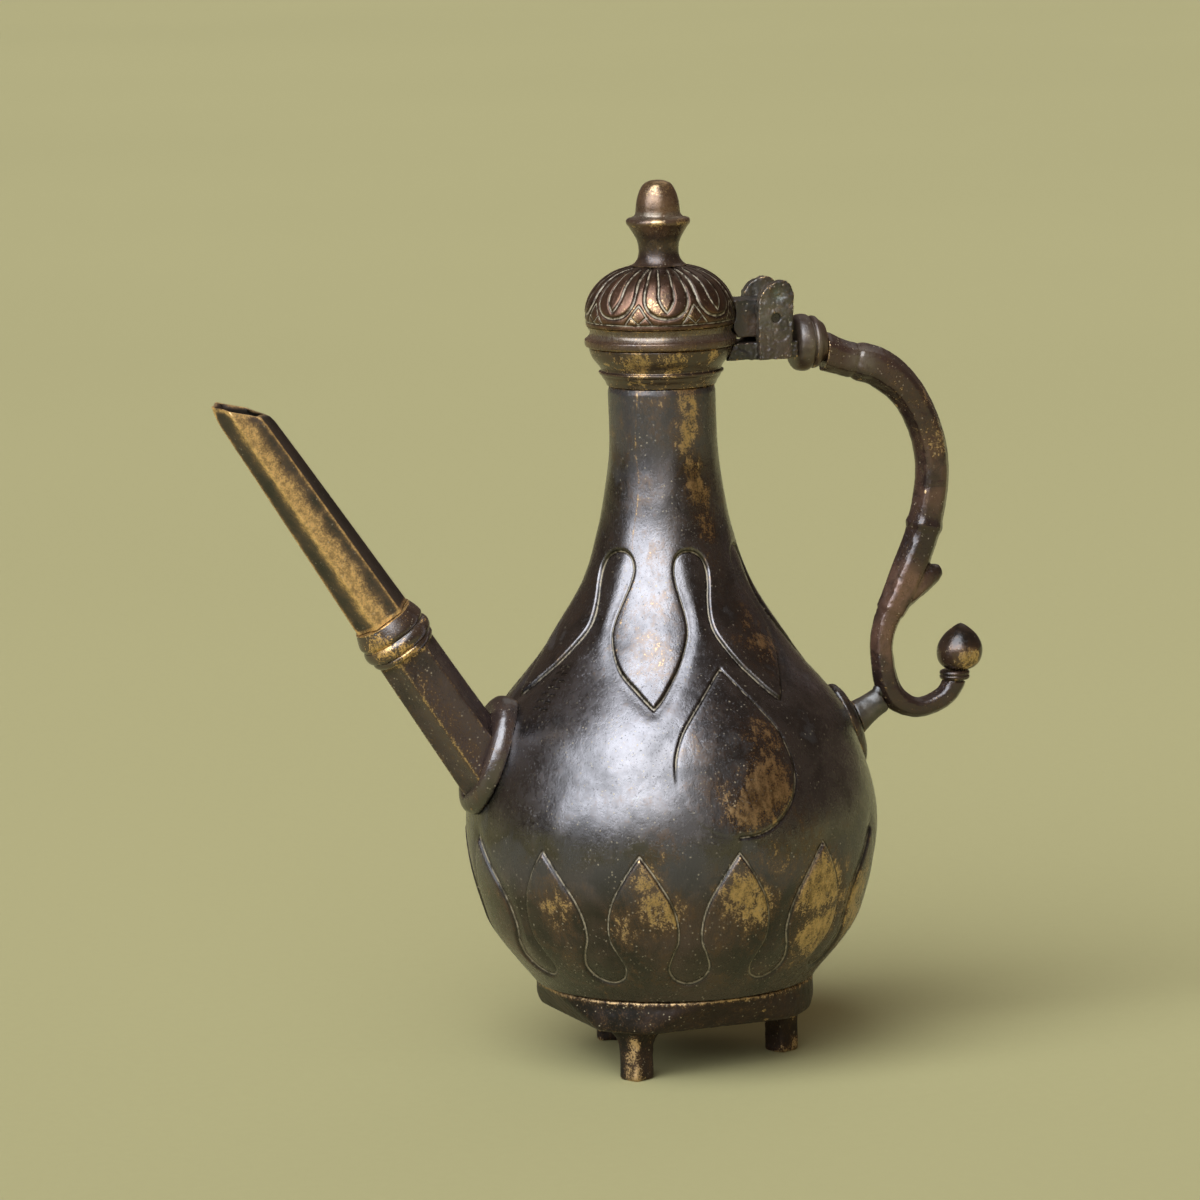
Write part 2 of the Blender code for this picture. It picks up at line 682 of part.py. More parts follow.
def make_hinge_bracket():
    half = ARM_WIDTH / 2
    bottom = ARM_TOP - ARM_HEIGHT
    arm = block("hinge_bracket", (NECK_RADIUS, -half, bottom), (ARM_END, half, ARM_TOP), VESSEL)
    seat = [(r + GAP, h) for r, h in collar_outer()]
    seat = [(0, COLLAR_TOP + GAP), (seat[0][0], COLLAR_TOP + GAP)] + seat + [(0, COLLAR_BOTTOM)]
    cut(arm, turned("arm_seat", seat, LID_STEPS, VESSEL))
    corner = arc((EAR_RIGHT - EAR_CORNER, EAR_ABOVE_PIN - EAR_CORNER), EAR_CORNER, 0, math.pi / 2, 4)
    nose = arc((EAR_NOSE - EAR_LEFT, EAR_ABOVE_PIN - EAR_NOSE), EAR_NOSE, math.pi / 2, math.pi, 7)
    foot = bottom - PIN_HEIGHT
    outline = [(-EAR_LEFT, foot), (EAR_RIGHT - EAR_TAPER, foot)] + corner + nose
    for side, name in ((-1, "front_ear_form"), (1, "rear_ear_form")):
        place = (0, side * (EAR_INNER + EAR_THICKNESS / 2), 0)
        ear = plate(name, outline, EAR_THICKNESS, HINGE, place, ALONG_Y)
        boolean(arm, ear, "UNION")
    hole = pin_form("ear_hole", PIN_RADIUS + PIN_CLEARANCE, 2 * EAR_OUTER)
    return as_part(cut(arm, hole), DARK_PATINA)


def make_hinge_pin():
    pin = pin_form("hinge_pin", PIN_RADIUS, EAR_OUTER - PIN_RECESS)
    pin.parent = VESSEL
    pin.location = (PIN_REACH, 0, PIN_HEIGHT)
    return as_part(pin, DARK_PATINA)


def make_handle_bead():
    stations = ((1.00, 0.66), (0.84, 0.72), (0.70, 0.88), (0.62, 0.97), (0.56, 0.92), (0.50, 0.99),
                (0.38, 1.00), (0.22, 0.94), (0.08, 0.80), (0.00, 0.62))
    outer = [(BEAD_RADIUS * out, BEAD_LENGTH * up) for up, out in stations]
    outline = [(0, BEAD_LENGTH)] + outer + [(0, 0)]
    bead = turned("handle_bead", outline, SMALL_STEPS, VESSEL, (BEAD_START, 0, BEAD_HEIGHT), math.pi / 2)
    return as_part(bead, DARK_PATINA)


def handle_bar(name, section, growth):
    level = Vector((ARCH_ROUTE[1][0] / 2, 0, 0))
    upright = Vector((0, 0, BUD_RING_HEIGHT))
    return faceted_bar(name, ARCH + SCROLL, section, VESSEL, growth, (level, upright))


def band_route():
    """A short stretch of the bar where the arch ends, set out to stand proud of its far side."""
    reach, height, half = ARCH[-1]
    reach += 1.4 * BAND_STEP
    run, fall = SCROLL[0][0] - ARCH[-2][0], SCROLL[0][1] - ARCH[-2][1]
    step = BAND_HALF_LENGTH / math.hypot(run, fall)
    ends = ((-step, half + BAND_STEP), (step, half + BAND_STEP))
    return [(reach + run * t, height + fall * t, depth) for t, depth in ends]


def make_handle_grip(section):
    bar = handle_bar("handle_grip", section, 0.0)
    boolean(bar, faceted_bar("spur_form", SPUR, section, VESSEL), "UNION")
    boolean(bar, faceted_bar("band_form", band_route(), section, VESSEL), "UNION")
    return as_part(bar, WARM_PATINA)


def make_bud_ring():
    soft = BUD_RING_HEIGHT / 4
    outline = [
        (0, BUD_RING_HEIGHT),
        (BUD_RING_RADIUS - soft, BUD_RING_HEIGHT),
        (BUD_RING_RADIUS, BUD_RING_HEIGHT - soft),
        (BUD_RING_RADIUS, 2 * soft),
        (BUD_RING_RADIUS - soft, 0),
        (0, 0),
    ]
    reach, height, half = SCROLL[-1]
    ring = turned("bud_ring", outline, SMALL_STEPS, VESSEL, (reach, 0, height + GAP))
    return as_part(ring, WARM_PATINA)


def make_handle_bud():
    stations = ((1.00, 0.00), (0.90, 0.36), (0.74, 0.72), (0.54, 0.94), (0.36, 1.00), (0.17, 0.92),
                (0.04, 0.70), (0.00, 0.56), (0.00, 0.00))
    outline = [(BUD_RADIUS * out, BUD_HEIGHT * up) for up, out in stations]
    reach, height, half = SCROLL[-1]
    bud = turned("handle_bud", outline, SMALL_STEPS, VESSEL,
                 (reach + BUD_SHIFT, 0, height + BUD_RING_HEIGHT + 2 * GAP))
    return as_part(bud, WORN_BRASS)


def pad_form(name, growth):
    """Domed boss on the body under the strut, longest up and down the body."""
    outline = arc((0, 0), 1.0, math.pi / 2, -math.pi / 2, 10)
    outline[0] = (0, 1.0)
    outline[-1] = (0, -1.0)
    pad = turned(name, outline, SMALL_STEPS, VESSEL, (body_radius(STRUT_HEIGHT), 0, STRUT_HEIGHT),
                 math.pi / 2 - body_tilt(STRUT_HEIGHT))
    pad.scale = (PAD_LENGTH / 2 + growth, PAD_WIDTH / 2 + growth, PAD_THICKNESS + growth)
    return pad


def make_handle_strut(section):
    root = body_radius(STRUT_HEIGHT)
    span = math.hypot(STRUT_MEETS[0] - root, STRUT_MEETS[1] - STRUT_HEIGHT)
    rise = math.atan2(STRUT_MEETS[1] - STRUT_HEIGHT, STRUT_MEETS[0] - root)
    flare = STRUT_ROOT - STRUT_WAIST
    outline = [
        (0, span),
        (STRUT_WAIST, span),
        (STRUT_WAIST, 0.60 * span),
        (STRUT_WAIST + 0.18 * flare, 0.42 * span),
        (STRUT_WAIST + 0.50 * flare, 0.24 * span),
        (STRUT_ROOT, 0.05 * span),
        (STRUT_ROOT + 0.6 * flare, -0.25 * span),
        (0, -0.25 * span),
    ]
    strut = turned("handle_strut", outline, SMALL_STEPS, VESSEL, (root, 0, STRUT_HEIGHT),
                   math.pi / 2 - rise)
    strut.scale.y = STRUT_ASPECT
    cut(strut, body_form("strut_seat", GAP), pad_form("pad_clearance", GAP))
    return as_part(cut(strut, handle_bar("bar_clearance", section, GAP)), DARK_PATINA)


def make_strut_pad():
    pad = pad_form("strut_pad", 0.0)
    return as_part(cut(pad, body_form("pad_seat", GAP)), DARK_PATINA)


def rim_outer():
    """Outer side of the lid's rim, top to bottom: a hollow band above a rounded flange."""
    band = RIM_RADIUS - RIM_WALL / 3
    stations = ((1.00, 0.10), (0.80, 0.00), (0.58, 0.15), (0.42, 0.70), (0.30, 1.00), (0.12, 1.00),
                (0.00, 0.70))
    return [(band + (RIM_RADIUS - band) * out, RIM_BOTTOM + RIM_HEIGHT * up) for up, out in stations]


def dome_outer():
    """Outer side of the dome, top to bottom: a flat top, a round shoulder and a short skirt."""
    shoulder = arc(DOME_CENTRE, DOME_ROUND, math.pi / 2, 0, DOME_ARC_STEPS, DOME_CROWN)
    return shoulder + [(DOME_RADIUS - GAP, DOME_BOTTOM)]


def make_lid_rim():
    bore = RIM_RADIUS - RIM_WALL
    outline = rim_outer() + [(bore, RIM_BOTTOM), (bore, RIM_TOP)]
    rim = turned("lid_rim", outline, LID_STEPS, HINGE, LID_PLACE, hollow=True)
    return as_part(rim, WARM_PATINA)


def make_lid_dome():
    hole = SHANK_RADIUS + GAP
    inner = arc(DOME_CENTRE, DOME_ROUND - DOME_WALL, 0, math.pi / 2, DOME_ARC_STEPS,
                DOME_CROWN - DOME_WALL)
    inside = [(DOME_RADIUS - DOME_WALL, DOME_BOTTOM)] + inner + [(hole, DOME_TOP - DOME_WALL)]
    outline = [(hole, DOME_TOP)] + dome_outer() + inside
    dome = turned("lid_dome", outline, LID_STEPS, HINGE, LID_PLACE, hollow=True)
    return as_part(dome, WARM_PATINA)


def make_lid_finial():
    foot = DOME_TOP + GAP
    tall = FINIAL_HEIGHT
    acorn = [(1.00, 0.00), (0.99, 0.33), (0.955, 0.60), (0.88, 0.78), (0.76, 0.91), (0.68, 0.97)]
    side = [(ACORN_RADIUS * out, foot + tall * up) for up, out in acorn] + [
        (ACORN_RADIUS, foot + 0.565 * tall),
        (FINIAL_DISC - 0.12 * FINIAL_DISC, foot + 0.51 * tall),
        (FINIAL_DISC, foot + 0.46 * tall),
        (FINIAL_DISC, foot + 0.415 * tall),
        (FINIAL_WAIST + 0.5 * (FINIAL_DISC - FINIAL_WAIST), foot + 0.345 * tall),
        (FINIAL_WAIST, foot + 0.24 * tall),
        (FINIAL_WAIST + 0.2 * (FINIAL_FOOT - FINIAL_WAIST), foot + 0.12 * tall),
        (FINIAL_FOOT, foot),
    ]
    head = DOME_TOP - DOME_WALL - GAP
    shank = [
        (SHANK_RADIUS, foot),
        (SHANK_RADIUS, head),
        (RIVET_RADIUS, head),
        (0.8 * RIVET_RADIUS, head - RIVET_HEIGHT),
        (0, head - RIVET_HEIGHT),
    ]
    finial = turned("lid_finial", side + shank, SMALL_STEPS, HINGE, LID_PLACE)
    return as_part(finial, WORN_BRASS)


def make_lid_tongue():
    back = PIN_STANDOFF + RIM_WALL
    nose = arc((0, 0), TONGUE_RADIUS, -math.pi / 2, math.pi / 2, 12)
    outline = nose + [(-back, TONGUE_RADIUS), (-back, -TONGUE_RADIUS)]
    tongue = plate("lid_tongue", outline, TONGUE_WIDTH, HINGE, (0, 0, 0), ALONG_Y)
    side = [(r + GAP, h) for r, h in dome_outer() + rim_outer()]
    form = [(0, DOME_TOP)] + side + [(side[-1][0], COLLAR_TOP), (0, COLLAR_TOP)]
    lid = turned("lid_form", form, LID_STEPS, HINGE, LID_PLACE)
    hole = pin_form("tongue_hole", PIN_RADIUS + PIN_CLEARANCE, 2 * EAR_OUTER)
    return as_part(cut(tongue, lid, hole), WARM_PATINA)


def build():
    section = faceted_section("bar_section")
    make_foot_stand()
    make_body_shell()
    make_base_disc()
    make_neck_collar()
    make_spout_flange()
    make_spout_lower()
    make_spout_knuckle()
    make_spout_upper()
    make_hinge_bracket()
    make_hinge_pin()
    make_handle_bead()
    make_handle_grip(section)
    make_bud_ring()
    make_handle_bud()
    make_handle_strut(section)
    make_strut_pad()
    make_lid_rim()
    make_lid_dome()
    make_lid_finial()
    make_lid_tongue()


build()
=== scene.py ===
import math

import bpy
import numpy as np
from mathutils import Matrix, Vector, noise


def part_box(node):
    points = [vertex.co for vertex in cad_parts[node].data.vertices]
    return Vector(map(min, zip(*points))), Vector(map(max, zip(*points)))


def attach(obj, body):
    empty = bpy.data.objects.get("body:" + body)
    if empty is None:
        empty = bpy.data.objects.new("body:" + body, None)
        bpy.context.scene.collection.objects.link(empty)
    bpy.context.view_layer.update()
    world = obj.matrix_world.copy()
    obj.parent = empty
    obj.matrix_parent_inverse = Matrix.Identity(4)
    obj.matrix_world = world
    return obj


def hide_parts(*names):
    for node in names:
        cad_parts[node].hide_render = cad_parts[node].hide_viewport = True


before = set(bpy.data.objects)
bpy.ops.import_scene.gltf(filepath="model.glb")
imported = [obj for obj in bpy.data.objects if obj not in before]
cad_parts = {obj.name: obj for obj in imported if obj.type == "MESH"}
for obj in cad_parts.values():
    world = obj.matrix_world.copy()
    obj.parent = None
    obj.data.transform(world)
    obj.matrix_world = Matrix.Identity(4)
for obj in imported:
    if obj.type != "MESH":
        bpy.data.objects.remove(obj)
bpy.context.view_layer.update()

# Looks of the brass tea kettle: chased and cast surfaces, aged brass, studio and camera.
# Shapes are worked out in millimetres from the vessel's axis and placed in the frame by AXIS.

LOW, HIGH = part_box("body_shell")
AXIS = (LOW[0] + HIGH[0]) / 2
MM = 0.001
TAU = 2 * math.pi
HEX = 6

# Body stations: height, radius
BODY = np.array([(29.0, 47.8), (52, 63.8), (82, 70), (115, 61.8), (142, 42), (166, 27.6), (190, 20.6),
                 (214, 17.7), (231, 17.7)])
BODY_BOTTOM, BODY_TOP, NECK_RADIUS = BODY[0, 0], BODY[-1, 0], BODY[-1, 1]
SHELL = 2.0
# Gap of a seam between two pieces
SEAM = 0.3
COLLAR_TOP, RIM_BOTTOM, RIM_TOP, DOME_BOTTOM = 244.2, 244.5, 251.3, 251.6
# The dome's section: a flat middle, then a quarter ellipse of this width and height above its spring
DOME_MIDDLE, DOME_ROUND, DOME_SPRING, DOME_CROWN = 6.7, 18.6, 254.2, 16.9
DOME_TOP = DOME_SPRING + DOME_CROWN
DOME_WALL = 1.8
SHANK_HOLE = 2.3


# Curves and meshes

def harmonic_slopes(x, y):
    steps = np.diff(y) / np.diff(x)
    inner = np.where(steps[:-1] * steps[1:] > 0,
                     2 * steps[:-1] * steps[1:] / (steps[:-1] + steps[1:] + 1e-12), 0.0)
    return np.concatenate([steps[:1], inner, steps[-1:]])


BODY_SLOPES = harmonic_slopes(BODY[:, 0], BODY[:, 1])


def body_radius(z):
    z = np.asarray(z, float)
    i = np.clip(np.searchsorted(BODY[:, 0], z, side="right") - 1, 0, len(BODY) - 2)
    low, r0, high, r1 = BODY[i, 0], BODY[i, 1], BODY[i + 1, 0], BODY[i + 1, 1]
    span = high - low
    t = (z - low) / span
    rise = r1 - r0
    bend = (1 - t) * (BODY_SLOPES[i] * span - rise) - t * (BODY_SLOPES[i + 1] * span - rise)
    return r0 + t * rise + t * (1 - t) * bend


def smooth(points, per):
    """A smooth run through points of any dimension, per steps to each gap."""
    p = np.asarray(points, float)
    if len(p) < 3:
        return np.stack([p[0] + (p[-1] - p[0]) * i / per for i in range(per + 1)])
    gaps = np.maximum(np.linalg.norm(np.diff(p[:, :2], axis=0), axis=1), 1e-6)
    t = np.concatenate([[0], np.cumsum(gaps)])
    slope = np.empty_like(p)
    slope[1:-1] = (p[2:] - p[:-2]) / (t[2:] - t[:-2])[:, None]
    slope[0] = 1.5 * (p[1] - p[0]) / gaps[0] - 0.5 * slope[1]
    slope[-1] = 1.5 * (p[-1] - p[-2]) / gaps[-1] - 0.5 * slope[-2]
    out = []
    for i, gap in enumerate(gaps):
        s = (np.arange(per) / per)[:, None]
        a, b = 2 * s ** 3 - 3 * s ** 2 + 1, s ** 3 - 2 * s ** 2 + s
        c, d = -2 * s ** 3 + 3 * s ** 2, s ** 3 - s ** 2
        out.append(a * p[i] + b * gap * slope[i] + c * p[i + 1] + d * gap * slope[i + 1])
    return np.concatenate(out + [p[-1:]])


def joined(*runs):
    """Runs one after another; where two meet, the crease stays."""
    out = [np.asarray(runs[0], float)]
    for run in runs[1:]:
        run = np.asarray(run, float)
        same = np.linalg.norm(run[0] - out[-1][-1]) < 1e-6
        out.append(run[1:] if same else run)
    return np.concatenate(out)


def new_object(name, data):
    obj = bpy.data.objects.new(name, data)
    bpy.context.scene.collection.objects.link(obj)
    return obj


def loft(name, rows, loop=False, crease=40, marks=None):
    """A skin over closed rings of points (in mm from the axis); loop joins the last ring to the first."""
    rows = np.asarray(rows, float)
    count, around = rows.shape[:2]
    points = rows.reshape(-1, 3) * MM + np.array([AXIS, 0, 0])
    ring = np.arange(around)
    nxt = (ring + 1) % around
    bands = count if loop else count - 1
    start = (np.arange(bands) * around)[:, None]
    after = ((np.arange(bands) + 1) % count * around)[:, None]
    quads = np.stack([start + ring, start + nxt, after + nxt, after + ring], axis=2).reshape(-1, 4)
    mesh = bpy.data.meshes.new(name)
    ends = [] if loop else [ring[::-1], (count - 1) * around + ring]
    total = len(quads) * 4 + sum(len(e) for e in ends)
    mesh.vertices.add(len(points))
    mesh.vertices.foreach_set("co", points.astype(np.float32).ravel())
    mesh.loops.add(total)
    mesh.loops.foreach_set("vertex_index", np.concatenate([quads.ravel()] + ends).astype(np.int32))
    sizes = np.array([4] * len(quads) + [len(e) for e in ends])
    mesh.polygons.add(len(sizes))
    mesh.polygons.foreach_set("loop_start", np.concatenate([[0], np.cumsum(sizes)[:-1]]).astype(np.int32))
    mesh.update(calc_edges=True)
    mesh.validate()
    for key, values in (marks or {}).items():
        layer = mesh.attributes.new(key, "FLOAT", "POINT")
        layer.data.foreach_set("value", np.asarray(values, np.float32).ravel())
    mesh.shade_smooth()
    if crease:
        mesh.set_sharp_from_angle(angle=math.radians(crease))
    obj = new_object(name, mesh)
    return facing_out(obj)


def vectors(mesh, key):
    out = np.empty(len(mesh.vertices) * 3, np.float32)
    mesh.vertices.foreach_get(key, out)
    return out.reshape(-1, 3).astype(float)


def facing_out(obj):
    """Turn the faces outwards if the enclosed volume comes out negative."""
    mesh = obj.data
    mesh.calc_loop_triangles()
    tri = np.empty(len(mesh.loop_triangles) * 3, np.int32)
    mesh.loop_triangles.foreach_get("vertices", tri)
    a, b, c = vectors(mesh, "co")[tri.reshape(-1, 3)].transpose(1, 0, 2)
    if np.einsum("ij,ij->i", a, np.cross(b, c)).sum() < 0:
        mesh.flip_normals()
    return obj


def spin(profile, steps, turn=None, place=(0, 0, 0)):
    """Rings of a turned form, its own axis first along Z, then turned and placed."""
    profile = np.asarray(profile, float)
    angles = np.arange(steps) * TAU / steps
    r = np.maximum(profile[:, :1], 0.02)
    rows = np.stack([r * np.cos(angles), r * np.sin(angles), np.repeat(profile[:, 1:2], steps, 1)], 2)
    if turn is not None:
        rows = rows @ np.array(turn.to_3x3()).T
    return rows + np.array(place)


def baked(obj):
    """Keep what the modifiers make as the object's own mesh."""
    graph = bpy.context.evaluated_depsgraph_get()
    mesh = bpy.data.meshes.new_from_object(obj.evaluated_get(graph))
    obj.modifiers.clear()
    old = obj.data
    obj.data = mesh
    bpy.data.meshes.remove(old)
    return obj


def cast(name, forms, voxel, rounds):
    """Flow closed forms into one casting with soft edges and fillets."""
    first = forms[0]
    with bpy.context.temp_override(active_object=first, object=first, selected_objects=forms,
                                   selected_editable_objects=forms):
        bpy.ops.object.join()
    first.name = name
    first.data.name = name
    remesh = first.modifiers.new("flow", "REMESH")
    remesh.mode = "VOXEL"
    remesh.voxel_size = voxel * MM * 1
    remesh.use_smooth_shade = True
    soften = first.modifiers.new("soften", "SMOOTH")
    soften.factor = 0.5
    soften.iterations = rounds
    return baked(first)


# Sizes of the coarse and the small pits of a cast skin
PIT_COARSE, PIT_SMALL = 2.6, 0.9


def pitted(obj, deep, dents=()):
    """Uneven cast skin: pits all over, and dents, each a point, a radius and a depth, all in mm."""
    mesh = obj.data
    co, out = vectors(mesh, "co"), vectors(mesh, "normal")
    coarse = np.array([noise.noise(place) for place in co / (PIT_COARSE * MM)])
    small = np.array([noise.noise(place) for place in co / (PIT_SMALL * MM)])
    push = -deep * (np.clip(2.2 * coarse, 0, 1) + 0.5 * small)
    for (at_x, at_y, at_z), radius, depth in dents:
        far = np.linalg.norm(co / MM - np.array([AXIS / MM + at_x, at_y, at_z]), axis=1)
        push -= depth * np.exp(-(far / radius) ** 4)
    co += out * push[:, None] * MM
    mesh.vertices.foreach_set("co", co.astype(np.float32).ravel())
    mesh.update()
    return obj


def copy_of(node):
    return new_object("form_" + node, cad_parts[node].data.copy())


def recast(node, voxel, rounds):
    return cast(node + "_cast", [copy_of(node)], voxel, rounds)


# Chased ornament

class Chasing:
    """Sums what the chasing tools did to a surface of revolution, in mm along the normal."""

    def __init__(self, angles, heights, radii):
        self.angle = np.degrees(angles)[None, :] * np.ones((len(heights), 1))
        self.z = heights[:, None] * np.ones((1, len(angles)))
        self.r = radii[:, None]
        self.heights = heights
        self.along = np.concatenate([[0], np.cumsum(np.hypot(np.diff(heights), np.diff(radii)))])
        self.depth = np.zeros_like(self.angle)
        self.line = np.zeros_like(self.angle)
        self.proud = np.zeros_like(self.angle)

    def arc_at(self, z):
        order = np.argsort(self.heights)
        return np.interp(z, self.heights[order], self.along[order])

    def near(self, spread, curve, reach):
        """Distance in mm from each point, at angle spread from the motif's middle, to a curve."""
        low, high = curve[:, 1].min() - reach, curve[:, 1].max() + reach
        rows = np.where((self.heights > low) & (self.heights < high))[0]
        far = np.full(spread.shape, 99.0)
        arcs = self.arc_at(curve[:, 1])
        for i in rows:
            dx = np.radians(spread[i][:, None] - curve[None, :, 0]) * self.r[i, 0]
            dy = self.along[i] - arcs[None, :]
            far[i] = np.sqrt((dx * dx + dy * dy).min(1))
        return far

    def edge(self, curve):
        """The angle of a curve that runs downwards, at each point's height."""
        return np.interp(self.z, curve[::-1, 1], curve[::-1, 0])

    def cut(self, far, width, depth, weight=1.0):
        groove = np.exp(-(far / width) ** 2) * weight
        self.depth -= depth * groove
        self.line = np.maximum(self.line, groove)

    def lift(self, far, inside, height, soft, fade=1.0):
        side = np.where(inside, far, -far)
        rise = (0.5 + 0.5 * np.tanh(side / soft)) * fade
        self.depth += height * rise
        self.proud = np.maximum(self.proud, rise)

    def press(self, far, inside, deep, reach):
        """The ground is beaten down along the outside of a motif and comes back further away."""
        self.depth -= deep * np.where(inside, np.exp(-(far / 0.55) ** 2), np.exp(-(far / reach) ** 2))


def folded(angle, period, middle):
    """Angle from the middle of the nearest repeat, without sign."""
    return np.abs((angle - middle + period / 2) % period - period / 2)


def bump(angle, middle, width):
    return np.exp(-(((angle - middle + 180) % 360 - 180) / width) ** 2)


# How far above and below a motif's outline its tool marks are worked out
MOTIF_REACH = 7
HANGING_PETALS, STANDING_PETALS = 6, 13


def raise_petals(work, far, inside, deep, reach, height, fade=1.0):
    """Beat down the ground round petals, raise them and cut a line round them."""
    work.press(far, inside, deep, reach)
    work.lift(far, inside, height, 2.2, fade)
    work.cut(far, 0.5, 0.35)


def hanging_petals(work):
    """Petals under the neck, which wander a little, as hand work does."""
    a, z = work.angle, work.z
    strayed = a - 6.5 * bump(a, -23, 14) - 3 * bump(a, -57, 14) + 2.6 * bump(a, 28, 14)
    spread = folded(strayed, 360 / HANGING_PETALS, 0.5)
    arch = smooth([(0, 177.2), (6, 176.8), (12.5, 174.8), (15.3, 171.2), (14, 166.8), (10.5, 161.5),
                   (8.2, 156), (8.5, 151.5), (12, 146.5), (17, 141), (22.5, 136), (27, 131.5),
                   (30.2, 128.8)], 18)
    far = work.near(spread, arch, MOTIF_REACH)
    inside = (spread > work.edge(arch)) & (z > arch[-1, 1]) | (z > arch[0, 1])
    raise_petals(work, far, inside, deep=0.75, reach=3.4, height=0.45)


def side_drops(work):
    """A drop on the near side and one on the far side, with the left line worn away low down."""
    a, z = work.angle, work.z
    left = smooth([(5.9, 139.8), (1.7, 137), (-5.2, 131), (-10.1, 125.8), (-13.2, 121.4), (-15.2, 115.8),
                   (-15.8, 110.6), (-15.2, 103), (-12.5, 96.5), (-8.5, 91.5), (-3.5, 88.6), (1.6, 87.7)], 18)
    right = smooth([(5.9, 139.8), (8.7, 137.1), (12.8, 132.2), (16.4, 127.2), (19.5, 121.8), (21.1, 115.8),
                    (22, 109.8), (21.5, 103.9), (19.3, 98.3), (15.9, 93.8), (11.9, 90.3), (7.1, 88.2),
                    (1.6, 87.7)], 18)
    worn_low = 0.12 + 0.88 * np.clip((z - 104) / 8, 0, 1)
    for middle in (0, 180):
        across = (a - middle + 180) % 360 - 180
        far_left = work.near(across, left, MOTIF_REACH)
        far_right = work.near(across, right, MOTIF_REACH)
        inside = (across > work.edge(left)) & (across < work.edge(right))
        inside &= (z < left[0, 1]) & (z > left[-1, 1])
        work.lift(np.minimum(far_left, far_right), inside, height=0.3, soft=1.6)
        work.cut(far_left, width=0.52, depth=0.5, weight=worn_low)
        work.cut(far_right, width=0.52, depth=0.5)


def standing_petals(work):
    """Petals above the stand."""
    a, z = work.angle, work.z
    period = 360 / STANDING_PETALS
    spread = folded(a + 1.4 * bump(a, -56, 13) + 4 * bump(a, -86, 12), period, 1.3)
    petal = smooth([(0, 82.6), (2.6, 78.2), (5.6, 72.4), (8.5, 66), (10.2, 59), (10.3, 52.5), (8.3, 46.5),
                    (7.2, 42), (8.6, 38.2), (11.5, 36.3), (period / 2, 35.9)], 18)
    far = work.near(spread, petal, MOTIF_REACH)
    inside = (spread < work.edge(petal)) & (z < petal[0, 1]) | (z < petal[-1, 1])
    raise_petals(work, far, inside, deep=0.7, reach=3.2, height=0.4, fade=np.clip((z - 30.5) / 9, 0, 1))


def chisel_strokes(work):
    """Short strokes beside the spout's root, on both sides of it."""
    for middle, hand in ((-73, 1), (-107, -1)):
        for row in range(7):
            for column in range(2):
                at = np.array([middle + hand * (4.2 * column + 0.5 * math.sin(5 * row)), 126.5 + 2.2 * row])
                stroke = np.linspace(at, at + np.array([2.6 * hand, 0.5 - 0.25 * column]), 8)
                work.cut(work.near(work.angle, stroke, 3), width=0.42, depth=0.3)


def chase_body(work):
    hanging_petals(work)
    side_drops(work)
    standing_petals(work)
    chisel_strokes(work)


def chase_dome(work):
    """Eight hanging lobes with a leaf in each, small pointed arches between, and a line round the foot."""
    a = work.angle
    spread = folded(a, 45, -12)
    between = 22.5 - spread
    lobe = smooth([(19.4, 271.0), (17.8, 267.5), (18.4, 264), (17.6, 260.6), (14.0, 257.9), (8.4, 256.1),
                   (0, 255.4)], 16)
    leaf = smooth([(7.5, 270.5), (6.2, 266.5), (6.3, 262.3), (3.8, 259.6), (0, 257.5)], 16)
    arch = smooth([(0, 259.9), (3, 258.3), (6.5, 256), (10.5, 253.8)], 16)
    cross = smooth([(6.4, 256.2), (0, 253.6)], 24)
    raised = ((lobe, 0.25, 0.35, 0.62, 0.50), (leaf, 0.16, 0.3, 0.52, 0.42))
    for outline, height, soft, width, depth in raised:
        far = work.near(spread, outline, 3)
        inside = (spread < work.edge(outline)) & (work.z > outline[-1, 1])
        work.lift(far, inside, height, soft)
        work.cut(far, width, depth)
    work.cut(work.near(between, arch, 3), width=0.46, depth=0.36)
    work.cut(work.near(between, cross, 3), width=0.30, depth=0.26)
    work.cut(np.abs(work.z - 253.2), width=0.34, depth=0.26)


def hand_beaten(angles, heights, size):
    """Slow unevenness of hand-made metal, in mm."""
    a, z = angles[None, :], heights[:, None]
    waves = np.sin(3 * a + 0.05 * z) + 0.7 * np.sin(5 * a - 0.09 * z + 1.3)
    waves = waves + 0.5 * np.sin(9 * a + 0.16 * z + 0.4) + 0.4 * np.sin(14 * a - 0.21 * z + 2.1)
    highest = 1 + 0.7 + 0.5 + 0.4
    return size * waves / highest


